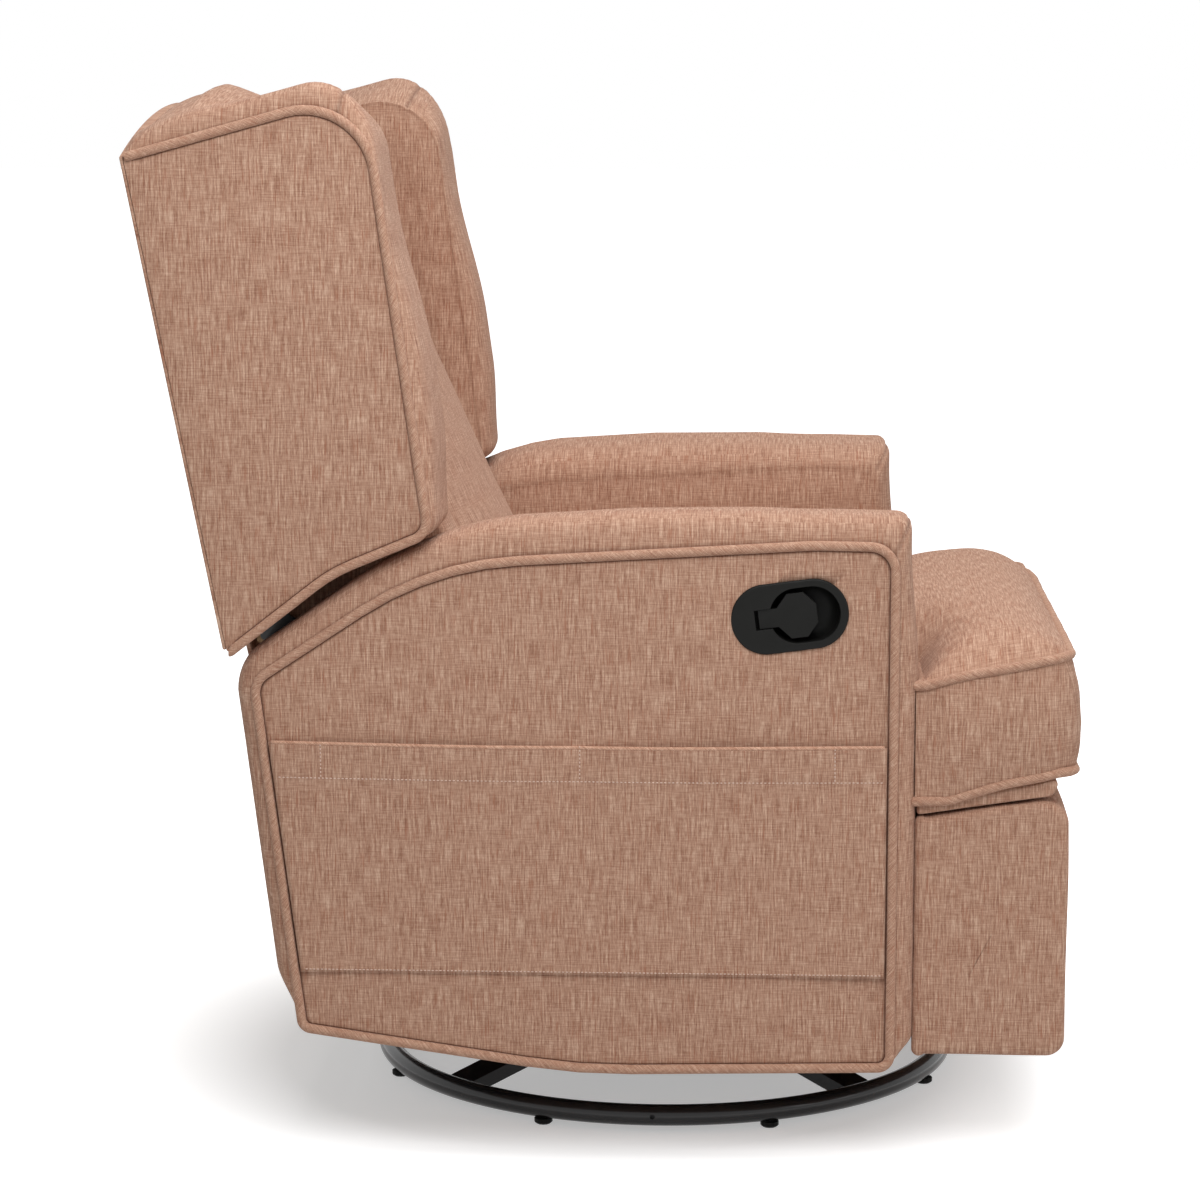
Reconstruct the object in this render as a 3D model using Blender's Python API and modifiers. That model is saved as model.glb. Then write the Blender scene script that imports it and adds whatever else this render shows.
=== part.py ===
"""Swivel glider recliner with wings, a side pocket and a lever-released footrest.

Metres, +Z up. The origin is on the floor under the middle of the chair, the sitter
looks along -Y, and right and left are the sitter's, so right is -X.
"""
import math

import bmesh
import bpy
from mathutils import Matrix, Vector

# Fits
GAP = 0.0003
PIN_PLAY = 0.0006
SOFT_GAP = 0.0025

# Swivel base
SWIVEL_Y = -0.050
RING_RADIUS = 0.290
RING_TUBE = 0.0105
GLIDE_HEIGHT = 0.0060
GLIDE_RADIUS = 0.0090
GLIDE_COUNT = 8
CROSS_WIDTH = 0.034
CROSS_DEPTH = 0.014
CROSS_RISE = 0.042
HUB_RADIUS = 0.078
HUB_THICK = 0.006
RACE_RADIUS = 0.066
RACE_THICK = 0.0070
SPINDLE_RADIUS = 0.012

# Glider carriage: platform, rails, towers and swing links
PLATFORM_THICK = 0.0040
PLATFORM_DEPTH = 0.250
RAIL_WIDTH = 0.024
RAIL_HEIGHT = 0.025
RAIL_INSET = 0.061
PLATE = 0.0040
LINK_THICK = 0.0050
PIVOT_SPREAD = 0.280
SWING_LENGTH = 0.095
LOWER_PIVOT_Z = 0.125
LINK_END = 0.0130
PIN_RADIUS = 0.0050
RAIL_OVERHANG = 0.030
HANGER_WIDTH = 0.012
HANGER_HEIGHT = 0.025
CROSS_TUBE = 0.0110
FRONT_TUBE_REACH = 0.030
REAR_TUBE_REACH = -0.220

# Body of the chair
SEAT_WIDTH = 0.500
ARM_WIDTH = 0.125
WELT = 0.0048
ARM_FRONT_Y = -0.274
ARM_TOP_Z = 0.591
ARM_CREST_Y = 0.157
ARM_CREST_Z = 0.566
ARM_TAIL_Y = 0.325
ARM_TAIL_Z = 0.457
ARM_HEEL_Y = 0.283
ARM_HEEL_Z = 0.124
ARM_BELLY_Z = 0.086
ARM_TOE_Z = 0.092
ARM_CROWN_TOP = 0.033
ARM_CROWN_FRONT = 0.024
ARM_CROWN_BACK = 0.018

WING_REAR_TOP = (0.442, 0.944)
WING_PEAK = (0.222, 0.990)
WING_CHIN = (0.160, 0.598)
WING_BEND = (0.243, 0.572)
WING_REAR_LOW = (0.353, 0.483)
WING_CROWN_TOP = 0.027
WING_CROWN_FRONT = 0.019
WING_TAPER = 0.110

# How far a padded piece rolls over at its end seams
SEAM_ROUND = 0.006

# Seat cushion, a T in plan
SEAT_TILT = math.radians(5.0)
CUSHION_REAR_Y = 0.082
CUSHION_FRONT_Y = -0.446
EAR_INSET = 0.013
CUSHION_BORDER = 0.104
CUSHION_CROWN = 0.040

# Seat box
BOARD = 0.020
SIDE_BOARD_INSET = 0.044
SEAT_BOARD_HEIGHT = 0.028
REAR_BOARD_HEIGHT = 0.040
APRON_THICK = 0.0130
APRON_DEPTH = 0.117
APRON_SLOPE = math.radians(8.8)
SPRING_COUNT = 5
SPRING_WIRE = 0.0019
SPRING_BENDS = 11
SPRING_SWAY = 0.020

# Footrest block and its linkage, reach is the distance in front of the origin
BLOCK_REAR = 0.3005
BLOCK_FRONT = 0.4390
BLOCK_LOW = 0.1000
BLOCK_HIGH = 0.3500
BLOCK_INSET = 0.015
BLOCK_ROUND = 0.022
FOOT_BOARD = 0.012
DRIVE_PIVOT = (0.160, 0.315)
BRACKET_PIVOT = (0.275, 0.260)
LEG_LINK = 0.205
OPEN_REACH = 0.400
OPEN_RISE = math.radians(2.0)
FOOT_TILT = math.radians(85.0)
CARRIER_TAIL = 0.045
STAY_OFFSET = (0.010, 0.040)
TUBE_OFFSET = 0.070
TUBE_LEAN = math.radians(30.0)
TORQUE_TUBE = 0.0090
LINK_HALF = 0.0095
DRIVE_HALF = 0.0125
LINK_PITCH = 0.0047

# Back
BACK_PIVOT = (0.215, 0.375)
BACK_INSET = 0.010
BACK_ARCH = 0.056
BACK_CROWN = 0.038
BACK_ARCH_POWER = 1.75
POST_WIDTH = 0.034
POST_DEPTH = 0.030
BACK_PANEL = 0.010
BACK_RAIL_HEIGHT = 0.060
BACK_PANEL_LOW = 0.400
POST_LOW = 0.472
VALANCE_TOP = (0.308, 0.390)
VALANCE_LOW = (0.296, 0.128)
VALANCE_THICK = 0.012

# Release handle and side pocket, both on the right arm
HANDLE_Y = -0.176
HANDLE_Z = 0.523
HANDLE_LENGTH = 0.112
HANDLE_HEIGHT = 0.070
HANDLE_TILT = math.radians(7.5)
BEZEL_PROUD = 0.0035
BEZEL_WALL = 0.0030
CUP_DEPTH = 0.024
PADDLE_THICK = 0.0060
PADDLE_SETBACK = 0.0035
PADDLE_PIVOT = 0.0040
POCKET_TOP = 0.400
POCKET_LOW = 0.179
POCKET_CLOTH = 0.0020
POCKET_BULGE = 0.0085

HALF_WIDTH = SEAT_WIDTH / 2.0 + ARM_WIDTH
EAR_HALF = HALF_WIDTH - EAR_INSET
BLOCK_HALF = HALF_WIDTH - BLOCK_INSET
BACK_HALF = SEAT_WIDTH / 2.0 - BACK_INSET
SIDE_BOARD_X = SEAT_WIDTH / 2.0 - SIDE_BOARD_INSET
RAIL_OUTER_X = SEAT_WIDTH / 2.0 - RAIL_INSET

PARTS = "recliner"
CUTTERS = "cutters"


def clear_scene():
    for item in list(bpy.data.objects):
        bpy.data.objects.remove(item, do_unlink=True)


def collection(name):
    found = bpy.data.collections.get(name)
    if found is None:
        found = bpy.data.collections.new(name)
        bpy.context.scene.collection.children.link(found)
    return found


def material(name, color, roughness=0.6, metallic=0.0):
    mat = bpy.data.materials.get(name)
    if mat is None:
        mat = bpy.data.materials.new(name)
        mat.use_nodes = True
        shader = mat.node_tree.nodes["Principled BSDF"]
        shader.inputs["Base Color"].default_value = (*color, 1.0)
        shader.inputs["Roughness"].default_value = roughness
        shader.inputs["Metallic"].default_value = metallic
    return mat


def fabric():
    return material("heathered_fabric", (0.42, 0.25, 0.18), 0.9)


def steel():
    return material("black_steel", (0.015, 0.015, 0.016), 0.32, 0.6)


def zinc():
    return material("zinc_steel", (0.55, 0.55, 0.56), 0.4, 0.9)


def wood():
    return material("pine_board", (0.62, 0.45, 0.27), 0.7)


def plastic():
    return material("black_plastic", (0.018, 0.018, 0.018), 0.45)


def place(obj, mat, where=PARTS):
    collection(where).objects.link(obj)
    obj.data.materials.clear()
    obj.data.materials.append(mat)
    return obj


def from_bmesh(name, bm, mat, smooth=None, where=PARTS):
    bmesh.ops.recalc_face_normals(bm, faces=bm.faces)
    if bm.calc_volume(signed=True) < 0.0:
        bmesh.ops.reverse_faces(bm, faces=bm.faces)
    mesh = bpy.data.meshes.new(name)
    bm.to_mesh(mesh)
    bm.free()
    if smooth is not None:
        mesh.shade_smooth()
        mesh.set_sharp_from_angle(angle=math.radians(smooth))
    return place(bpy.data.objects.new(name, mesh), mat, where)


def as_mesh(obj):
    """Turn a curve object into a welded mesh object of the same name and place."""
    bpy.context.view_layer.update()
    graph = bpy.context.evaluated_depsgraph_get()
    mesh = bpy.data.meshes.new_from_object(obj.evaluated_get(graph))
    bm = bmesh.new()
    bm.from_mesh(mesh)
    bmesh.ops.remove_doubles(bm, verts=bm.verts, dist=0.00001)
    bmesh.ops.recalc_face_normals(bm, faces=bm.faces)
    bm.to_mesh(mesh)
    bm.free()
    name = obj.name
    matrix = obj.matrix_world.copy()
    home = obj.users_collection[0]
    finish = obj.data.materials[0]
    bpy.data.objects.remove(obj, do_unlink=True)
    solid = bpy.data.objects.new(name, mesh)
    home.objects.link(solid)
    solid.matrix_world = matrix
    mesh.materials.clear()
    mesh.materials.append(finish)
    return solid


def boolean(target, other, operation):
    """Join or cut with another object, apply the result and remove the other."""
    modifier = target.modifiers.new(operation.lower(), "BOOLEAN")
    modifier.operation = operation
    modifier.object = other
    modifier.solver = "EXACT"
    bpy.context.view_layer.update()
    graph = bpy.context.evaluated_depsgraph_get()
    mesh = bpy.data.meshes.new_from_object(target.evaluated_get(graph))
    target.modifiers.clear()
    old = target.data
    finish = old.materials[0]
    mesh.materials.clear()
    mesh.materials.append(finish)
    for face in mesh.polygons:
        face.material_index = 0
    target.data = mesh
    bpy.data.meshes.remove(old)
    bpy.data.objects.remove(other, do_unlink=True)
    return target


def box(name, low, high, mat, bevel=0.0, where=PARTS):
    bm = bmesh.new()
    bmesh.ops.create_cube(bm, size=1.0)
    size = [high[i] - low[i] for i in range(3)]
    middle = [(high[i] + low[i]) / 2.0 for i in range(3)]
    bmesh.ops.scale(bm, vec=size, verts=bm.verts)
    if bevel > 0.0:
        bmesh.ops.bevel(bm, geom=bm.edges[:], offset=bevel, segments=2, profile=0.5, affect="EDGES")
    bmesh.ops.translate(bm, vec=middle, verts=bm.verts)
    return from_bmesh(name, bm, mat, where=where)


def rod(name, start, end, radius, mat, sides=12, where=PARTS):
    """A round bar between two points."""
    start = Vector(start)
    end = Vector(end)
    along = end - start
    bm = bmesh.new()
    turn = along.to_track_quat("Z", "Y").to_matrix().to_4x4()
    matrix = Matrix.Translation((start + end) / 2.0) @ turn
    bmesh.ops.create_cone(
        bm, cap_ends=True, segments=sides, radius1=radius, radius2=radius,
        depth=along.length, matrix=matrix,
    )
    return from_bmesh(name, bm, mat, smooth=40, where=where)


def circle(center, radius, sides=12):
    step = 2.0 * math.pi / sides
    return [
        (center[0] + radius * math.cos(i * step), center[1] + radius * math.sin(i * step))
        for i in range(sides)
    ]


def rounded(corners, step=math.radians(15.0)):
    """A closed outline from (a, b, radius) corners, each turned with an arc."""
    points = []
    count = len(corners)
    for i in range(count):
        before = Vector(corners[i - 1][:2])
        here = Vector(corners[i][:2])
        after = Vector(corners[(i + 1) % count][:2])
        radius = corners[i][2]
        to_before = (before - here).normalized()
        to_after = (after - here).normalized()
        between = to_before.angle(to_after)
        bend = math.pi - between
        if radius <= 0.0 or bend < math.radians(2.0):
            points.append(tuple(here))
            continue
        reach = radius / math.tan(between / 2.0)
        limit = 0.49 * min((before - here).length, (after - here).length)
        if reach > limit:
            reach = limit
            radius = reach * math.tan(between / 2.0)
        middle = here + (to_before + to_after).normalized() * (radius / math.sin(between / 2.0))
        first = here + to_before * reach - middle
        last = here + to_after * reach - middle
        steps = max(1, math.ceil(bend / step))
        turn = bend / steps
        if first.x * last.y - first.y * last.x < 0.0:
            turn = -turn
        for k in range(steps + 1):
            angle = k * turn
            points.append((
                middle.x + first.x * math.cos(angle) - first.y * math.sin(angle),
                middle.y + first.x * math.sin(angle) + first.y * math.cos(angle),
            ))
    return points


def bar_outline(start, end, half, sides=5):
    """A flat bar with round ends between two pivots."""
    start = Vector(start)
    end = Vector(end)
    heading = math.atan2(end.y - start.y, end.x - start.x)
    points = []
    for center, base in ((end, heading - math.pi / 2.0), (start, heading + math.pi / 2.0)):
        for k in range(sides + 1):
            angle = base + math.pi * k / sides
            points.append((center.x + half * math.cos(angle), center.y + half * math.sin(angle)))
    return points


def flat_plate(name, loops, low_x, high_x, mat, where=PARTS):
    """Extrude (y, z) loops across x. The first loop is the outline, the rest are holes."""
    curve = bpy.data.curves.new(name, "CURVE")
    curve.dimensions = "2D"
    curve.fill_mode = "BOTH"
    curve.extrude = (high_x - low_x) / 2.0
    for loop in loops:
        spline = curve.splines.new("POLY")
        spline.points.add(len(loop) - 1)
        for point, (a, b) in zip(spline.points, loop):
            point.co = (a, b, 0.0, 1.0)
        spline.use_cyclic_u = True
    obj = bpy.data.objects.new(name, curve)
    obj.rotation_euler = (math.pi / 2.0, 0.0, math.pi / 2.0)
    obj.location.x = (low_x + high_x) / 2.0
    place(obj, mat, where)
    return as_mesh(obj)


def forward(point):
    """A (reach, height) point as (y, z)."""
    return (-point[0], point[1])


def side_plate(name, side, loops, low_x, high_x, mat):
    """A plate at |x| from low_x to high_x on one side of the chair."""
    if side > 0:
        return flat_plate(name, loops, low_x, high_x, mat)
    return flat_plate(name, loops, -high_x, -low_x, mat)


def add_pin(plate, side, point, from_x, to_x, radius=PIN_RADIUS):
    """Weld a round pin to a plate, from |x| inside the plate to |x| at its free end."""
    pin = rod(
        "pin", (side * from_x, point[0], point[1]), (side * to_x, point[0], point[1]),
        radius, zinc(), sides=10, where=CUTTERS,
    )
    return boolean(plate, pin, "UNION")


def turned(name, profile, mat, center, steps=32):
    """Screw an (r, z) profile that runs from the top outside down to the axis."""
    mesh = bpy.data.meshes.new(name)
    closed = profile[0] == profile[-1]
    verts = [(r, 0.0, z) for r, z in (profile[:-1] if closed else profile)]
    edges = [(i, i + 1) for i in range(len(verts) - 1)]
    if closed:
        edges.append((len(verts) - 1, 0))
    mesh.from_pydata(verts, edges, [])
    obj = bpy.data.objects.new(name, mesh)
    obj.location = center
    screw = obj.modifiers.new("turn", "SCREW")
    screw.steps = steps
    screw.render_steps = steps
    screw.use_merge_vertices = True
    screw.merge_threshold = 0.00001
    screw.use_smooth_shade = False
    return place(obj, mat)


def tube(name, points, radius, mat, resolution=2, cyclic=False, where=PARTS):
    curve = bpy.data.curves.new(name, "CURVE")
    curve.dimensions = "3D"
    curve.bevel_depth = radius
    curve.bevel_resolution = resolution
    curve.use_fill_caps = not cyclic
    spline = curve.splines.new("POLY")
    spline.points.add(len(points) - 1)
    for target, point in zip(spline.points, points):
        target.co = (*point, 1.0)
    spline.use_cyclic_u = cyclic
    return place(bpy.data.objects.new(name, curve), mat, where)


def outline_normals(outline):
    """Outward unit normals of a closed (y, z) outline."""
    area = 0.0
    for i, (a, b) in enumerate(outline):
        c, d = outline[(i + 1) % len(outline)]
        area += a * d - b * c
    sign = 1.0 if area > 0.0 else -1.0
    normals = []
    for i in range(len(outline)):
        before = Vector(outline[i - 1])
        after = Vector(outline[(i + 1) % len(outline)])
        along = (after - before).normalized()
        normals.append(Vector((along.y * sign, -along.x * sign)))
    return normals


def padded_slab(name, outline, stations, crown, mat):
    """Extrude a (y, z) outline across x through stations of (x, inset, crown share).

    crown(point, normal) gives how far the padding stands out at that point of the
    outline. The first and last stations are closed with flat faces.
    """
    normals = outline_normals(outline)
    swell = [crown(point, normal) for point, normal in zip(outline, normals)]

    def ring(station):
        x, inset, share = station
        places = []
        for point, normal, full in zip(outline, normals, swell):
            out = full * share - inset
            places.append(Vector((x, point[0] + normal.x * out, point[1] + normal.y * out)))
        return places

    bm = bmesh.new()
    rings = [[bm.verts.new(p) for p in ring(station)] for station in stations]
    for near, far in zip(rings, rings[1:]):
        for i in range(len(near)):
            j = (i + 1) % len(near)
            bm.faces.new((near[i], near[j], far[j], far[i]))
    bm.faces.new(rings[0])
    bm.faces.new(list(reversed(rings[-1])))
    return from_bmesh(name, bm, mat, smooth=35)


def slanted(name, low, high, y_at_low, y_at_high, depth, half, mat):
    """A flat board that leans back: its rear face runs from y_at_low to y_at_high."""
    outline = [(y_at_low, low), (y_at_high, high), (y_at_high - depth, high), (y_at_low - depth, low)]
    return flat_plate(name, [outline], -half, half, mat)


# Heights in the swivel stack, from the floor up
RING_Z = GLIDE_HEIGHT + RING_TUBE
HUB_TOP = RING_Z + CROSS_DEPTH / 2.0 + CROSS_RISE
LOWER_RACE_Z = HUB_TOP + GAP
UPPER_RACE_Z = LOWER_RACE_Z + RACE_THICK + GAP
PLATFORM_Z = UPPER_RACE_Z + RACE_THICK + GAP
RAIL_Z = PLATFORM_Z + PLATFORM_THICK + GAP
UPPER_PIVOT_Z = LOWER_PIVOT_Z + SWING_LENGTH
PIVOT_YS = {"front": SWIVEL_Y - PIVOT_SPREAD / 2.0, "rear": SWIVEL_Y + PIVOT_SPREAD / 2.0}

# Planes across the chair, as |x|
TOWER_X = RAIL_OUTER_X + PLATE / 2.0
SWING_X = TOWER_X + 0.0020
HANGER_X = SWING_X + LINK_THICK + 0.0020
INNER_ARM_X = SEAT_WIDTH / 2.0
WEB_X = INNER_ARM_X - GAP - PLATE


def link_plane(index):
    """|x| limits of the flat links, counted inward from the mechanism plate."""
    high = WEB_X - GAP * 2.0 - index * LINK_PITCH
    return high - PLATE, high


CONTROL_PLANE, DRIVE_PLANE, CARRIER_PLANE, STAY_PLANE = (link_plane(i) for i in range(4))
SIDES = {"right": -1.0, "left": 1.0}


def block_top(reach):
    """Height of the footrest block's sloping top at a distance in front of the origin."""
    return BLOCK_HIGH - (BLOCK_FRONT - reach) * math.tan(APRON_SLOPE)


APRON_REAR = BLOCK_REAR + 0.0015
EAR_REAR = -ARM_FRONT_Y + ARM_CROWN_FRONT + SOFT_GAP


def cushion_base(reach):
    """Height of the seat cushion's underside at a distance in front of the origin."""
    start = block_top(APRON_REAR) + SOFT_GAP + APRON_THICK + 2.0 * GAP
    if reach < APRON_REAR:
        return start - (APRON_REAR - reach) * math.tan(SEAT_TILT)
    rise = (reach - APRON_REAR) * math.tan(APRON_SLOPE)
    past = max(0.0, reach - APRON_REAR - APRON_DEPTH) / 0.055
    return start + rise + 0.012 * min(1.0, past) ** 2


def back_y(height, depth=0.0):
    """y of the leaning rear face of the back, or of a plane that far inside it."""
    low = WING_REAR_LOW
    high = WING_REAR_TOP
    slope = (high[0] - low[0]) / (high[1] - low[1])
    return low[0] + (height - low[1]) * slope - depth * math.sqrt(1.0 + slope * slope)


def arch_rise(x):
    """Height of the back's arched top line above the wings' rear corners."""
    return BACK_ARCH * (1.0 - min(1.0, abs(x) / HALF_WIDTH) ** BACK_ARCH_POWER)


def ease(value, low, high):
    """0 below low, 1 above high and smooth between."""
    share = min(1.0, max(0.0, (value - low) / (high - low)))
    return share * share * (3.0 - 2.0 * share)


def slide_up_back(obj, rise):
    """Slide each vertex along the back's lean by rise(place)."""
    slope = back_y(1.0) - back_y(0.0)
    for vert in obj.data.vertices:
        step = rise(vert.co)
        vert.co.y += step * slope
        vert.co.z += step


def circumcentre(a, b, c):
    """The point that three places of a pivot are equally far from."""
    first = b - a
    second = c - b
    p = first.dot((a + b) / 2.0)
    q = second.dot((b + c) / 2.0)
    det = first.x * second.y - first.y * second.x
    return Vector(((p * second.y - q * first.y) / det, (q * first.x - p * second.x) / det))


def polar(origin, length, angle):
    return origin + Vector((math.cos(angle), math.sin(angle))) * length


def heading(start, end):
    return math.atan2(end.y - start.y, end.x - start.x)


class FootrestLinkage:
    """Pivots of the footrest linkage in (reach, height), with the footrest stowed.

    The drive link swings on the chair, the carrier on the drive link and the bracket
    on the carrier. The control link and the stay close the two loops: each runs from
    the point that its free pivot keeps its distance from when the footrest is stowed,
    half way and open.
    """

    def __init__(self):
        self.drive = Vector(DRIVE_PIVOT)
        self.bracket = Vector(BRACKET_PIVOT)
        chord = self.bracket - self.drive
        drop = math.sqrt(LEG_LINK ** 2 - (chord.length / 2.0) ** 2)
        self.elbow = polar((self.drive + self.bracket) / 2.0, drop, heading(self.drive, self.bracket) - math.pi / 2.0)
        fold = math.acos(OPEN_REACH / 2.0 / LEG_LINK)
        self.drive_angle = heading(self.drive, self.elbow)
        self.carrier_angle = heading(self.elbow, self.bracket)
        self.drive_turn = OPEN_RISE - fold - self.drive_angle
        self.carrier_turn = OPEN_RISE + fold - self.carrier_angle
        self.tail = polar(self.elbow, -CARRIER_TAIL, self.carrier_angle)
        self.control = circumcentre(*(self.on_carrier(self.tail, t) for t in (0.0, 0.5, 1.0)))
        self.stay_end = self.bracket + Vector(STAY_OFFSET)
        self.stay = circumcentre(*(self.in_drive(self.on_bracket(self.stay_end, t), t) for t in (0.0, 0.5, 1.0)))
        self.tube = polar(self.drive, TUBE_OFFSET, self.drive_angle - TUBE_LEAN)

    def elbow_at(self, share):
        return polar(self.drive, LEG_LINK, self.drive_angle + self.drive_turn * share)

    def bracket_at(self, share):
        return polar(self.elbow_at(share), LEG_LINK, self.carrier_angle + self.carrier_turn * share)

    def on_carrier(self, point, share):
        turn = Matrix.Rotation(self.carrier_turn * share, 2)
        return self.elbow_at(share) + turn @ (point - self.elbow)

    def on_bracket(self, point, share):
        turn = Matrix.Rotation(FOOT_TILT * share, 2)
        return self.bracket_at(share) + turn @ (point - self.bracket)

    def in_drive(self, point, share):
        turn = Matrix.Rotation(-self.drive_turn * share, 2)
        return self.drive + turn @ (point - self.drive)

    def ratios(self):
        """Turn of each follower per turn of the drive link, each against its own parent."""
        control_turn = heading(self.control, self.on_carrier(self.tail, 1.0)) - heading(self.control, self.tail)
        start = heading(self.stay, self.stay_end)
        moved = self.in_drive(self.on_bracket(self.stay_end, 1.0), 1.0)
        return {
            "carrier": (self.carrier_turn - self.drive_turn) / self.drive_turn,
            "footrest": (FOOT_TILT - self.carrier_turn) / self.drive_turn,
            "control": control_turn / self.drive_turn,
            "stay": (heading(self.stay, moved) - start) / self.drive_turn,
        }


LINKAGE = FootrestLinkage()


def build_ring_base():
    center = Vector((0.0, SWIVEL_Y, RING_Z))
    points = [
        (center.x + RING_RADIUS * math.cos(2.0 * math.pi * i / 48), center.y + RING_RADIUS * math.sin(2.0 * math.pi * i / 48), RING_Z)
        for i in range(48)
    ]
    tube("base_ring", points, RING_TUBE, steel(), resolution=3, cyclic=True)
    for i in range(GLIDE_COUNT):
        angle = 2.0 * math.pi * (i + 0.5) / GLIDE_COUNT
        x = RING_RADIUS * math.cos(angle)
        y = SWIVEL_Y + RING_RADIUS * math.sin(angle)
        profile = [
            (0.0, GLIDE_HEIGHT - GAP), (GLIDE_RADIUS, GLIDE_HEIGHT - GAP),
            (GLIDE_RADIUS, GLIDE_HEIGHT * 0.3), (GLIDE_RADIUS * 0.75, 0.0), (0.0, 0.0),
        ]
        turned(f"foot_glide_{i + 1}", profile, plastic(), (x, y, 0.0), steps=12)
    build_cross()
    spindle_top = PLATFORM_Z + PLATFORM_THICK + 0.008
    race_top = LOWER_RACE_Z + RACE_THICK
    turned("swivel_bearing_lower", [
        (0.0, spindle_top), (SPINDLE_RADIUS, spindle_top), (SPINDLE_RADIUS, race_top),
        (RACE_RADIUS, race_top), (RACE_RADIUS, LOWER_RACE_Z), (0.0, LOWER_RACE_Z),
    ], zinc(), (0.0, SWIVEL_Y, 0.0), steps=24)


def build_cross():
    inner = RING_RADIUS - RING_TUBE - GAP
    reach = math.sqrt(inner ** 2 - (CROSS_WIDTH / 2.0) ** 2) - GAP
    low = RING_Z - CROSS_DEPTH / 2.0
    flat = HUB_RADIUS * 0.9
    outline = [
        (-reach, low), (-flat, low + CROSS_RISE), (flat, low + CROSS_RISE), (reach, low),
        (reach, low + CROSS_DEPTH), (flat, HUB_TOP), (-flat, HUB_TOP), (-reach, low + CROSS_DEPTH),
    ]
    bars = []
    for name, angle in (("base_cross", 45.0), ("cross_bar", 135.0)):
        bar = flat_plate(name, [outline], -CROSS_WIDTH / 2.0, CROSS_WIDTH / 2.0, steel())
        turn = Matrix.Rotation(math.radians(angle), 4, "Z")
        bar.matrix_world = Matrix.Translation((0.0, SWIVEL_Y, 0.0)) @ turn @ bar.matrix_world
        bars.append(bar)
    cross = boolean(bars[0], bars[1], "UNION")
    hub = rod(
        "hub", (0.0, SWIVEL_Y, HUB_TOP - HUB_THICK), (0.0, SWIVEL_Y, HUB_TOP),
        HUB_RADIUS, steel(), sides=32, where=CUTTERS,
    )
    return boolean(cross, hub, "UNION")


def build_carriage():
    """Everything that turns on the swivel but does not glide."""
    bore = SPINDLE_RADIUS + PIN_PLAY
    profile = [
        (bore, UPPER_RACE_Z + RACE_THICK), (RACE_RADIUS, UPPER_RACE_Z + RACE_THICK),
        (RACE_RADIUS, UPPER_RACE_Z), (bore, UPPER_RACE_Z), (bore, UPPER_RACE_Z + RACE_THICK),
    ]
    turned("swivel_bearing_upper", profile, zinc(), (0.0, SWIVEL_Y, 0.0), steps=24)
    half_x = RAIL_OUTER_X
    half_y = PLATFORM_DEPTH / 2.0
    plate = floor_plate(
        "swivel_platform",
        [
            rounded([
                (-half_x, SWIVEL_Y - half_y, 0.012), (half_x, SWIVEL_Y - half_y, 0.012),
                (half_x, SWIVEL_Y + half_y, 0.012), (-half_x, SWIVEL_Y + half_y, 0.012),
            ], math.radians(30.0)),
            circle((0.0, SWIVEL_Y), bore + 0.002, 20),
        ],
        PLATFORM_Z, PLATFORM_Z + PLATFORM_THICK, steel(),
    )
    rib_x = RAIL_OUTER_X - RAIL_WIDTH - 0.004
    for y in (SWIVEL_Y - half_y + 0.014, SWIVEL_Y + half_y - 0.014):
        rib = box(
            "rib", (-rib_x, y - PLATE / 2.0, PLATFORM_Z + PLATFORM_THICK / 2.0),
            (rib_x, y + PLATE / 2.0, PLATFORM_Z + 0.020), steel(), where=CUTTERS,
        )
        boolean(plate, rib, "UNION")
    for name, side in SIDES.items():
        build_glider_rail(f"glider_rail_{name}", side)
        for end, y in PIVOT_YS.items():
            upper = (y, UPPER_PIVOT_Z)
            lower = (y, LOWER_PIVOT_Z)
            hole = PIN_RADIUS + PIN_PLAY
            side_plate(
                f"{end}_link_{name}", side,
                [bar_outline(lower, upper, LINK_END), circle(upper, hole), circle(lower, hole)],
                SWING_X, SWING_X + LINK_THICK, zinc(),
            )


def build_glider_rail(name, side):
    front = PIVOT_YS["front"] - RAIL_OVERHANG
    rear = PIVOT_YS["rear"] + RAIL_OVERHANG
    inner = side * (RAIL_OUTER_X - RAIL_WIDTH)
    outer = side * RAIL_OUTER_X
    rail = box(
        name, (min(inner, outer), front, RAIL_Z), (max(inner, outer), rear, RAIL_Z + RAIL_HEIGHT),
        steel(), bevel=0.0015,
    )
    for y in PIVOT_YS.values():
        tower = side_plate(
            "tower", side,
            [rounded([
                (y - 0.026, RAIL_Z + 0.003, 0.0), (y + 0.026, RAIL_Z + 0.003, 0.0),
                (y + LINK_END, UPPER_PIVOT_Z + LINK_END, LINK_END * 0.8),
                (y - LINK_END, UPPER_PIVOT_Z + LINK_END, LINK_END * 0.8),
            ], math.radians(30.0))],
            TOWER_X - PLATE, TOWER_X, steel(),
        )
        boolean(rail, tower, "UNION")
        add_pin(rail, side, (y, UPPER_PIVOT_Z), TOWER_X - PLATE / 2.0, SWING_X + LINK_THICK + 0.001)
    return rail


def floor_plate(name, loops, low_z, high_z, mat):
    """Extrude (x, y) loops upwards."""
    curve = bpy.data.curves.new(name, "CURVE")
    curve.dimensions = "2D"
    curve.fill_mode = "BOTH"
    curve.extrude = (high_z - low_z) / 2.0
    for loop in loops:
        spline = curve.splines.new("POLY")
        spline.points.add(len(loop) - 1)
        for point, (a, b) in zip(spline.points, loop):
            point.co = (a, b, 0.0, 1.0)
        spline.use_cyclic_u = True
    obj = bpy.data.objects.new(name, curve)
    obj.location.z = (low_z + high_z) / 2.0
    place(obj, mat)
    return as_mesh(obj)


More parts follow.
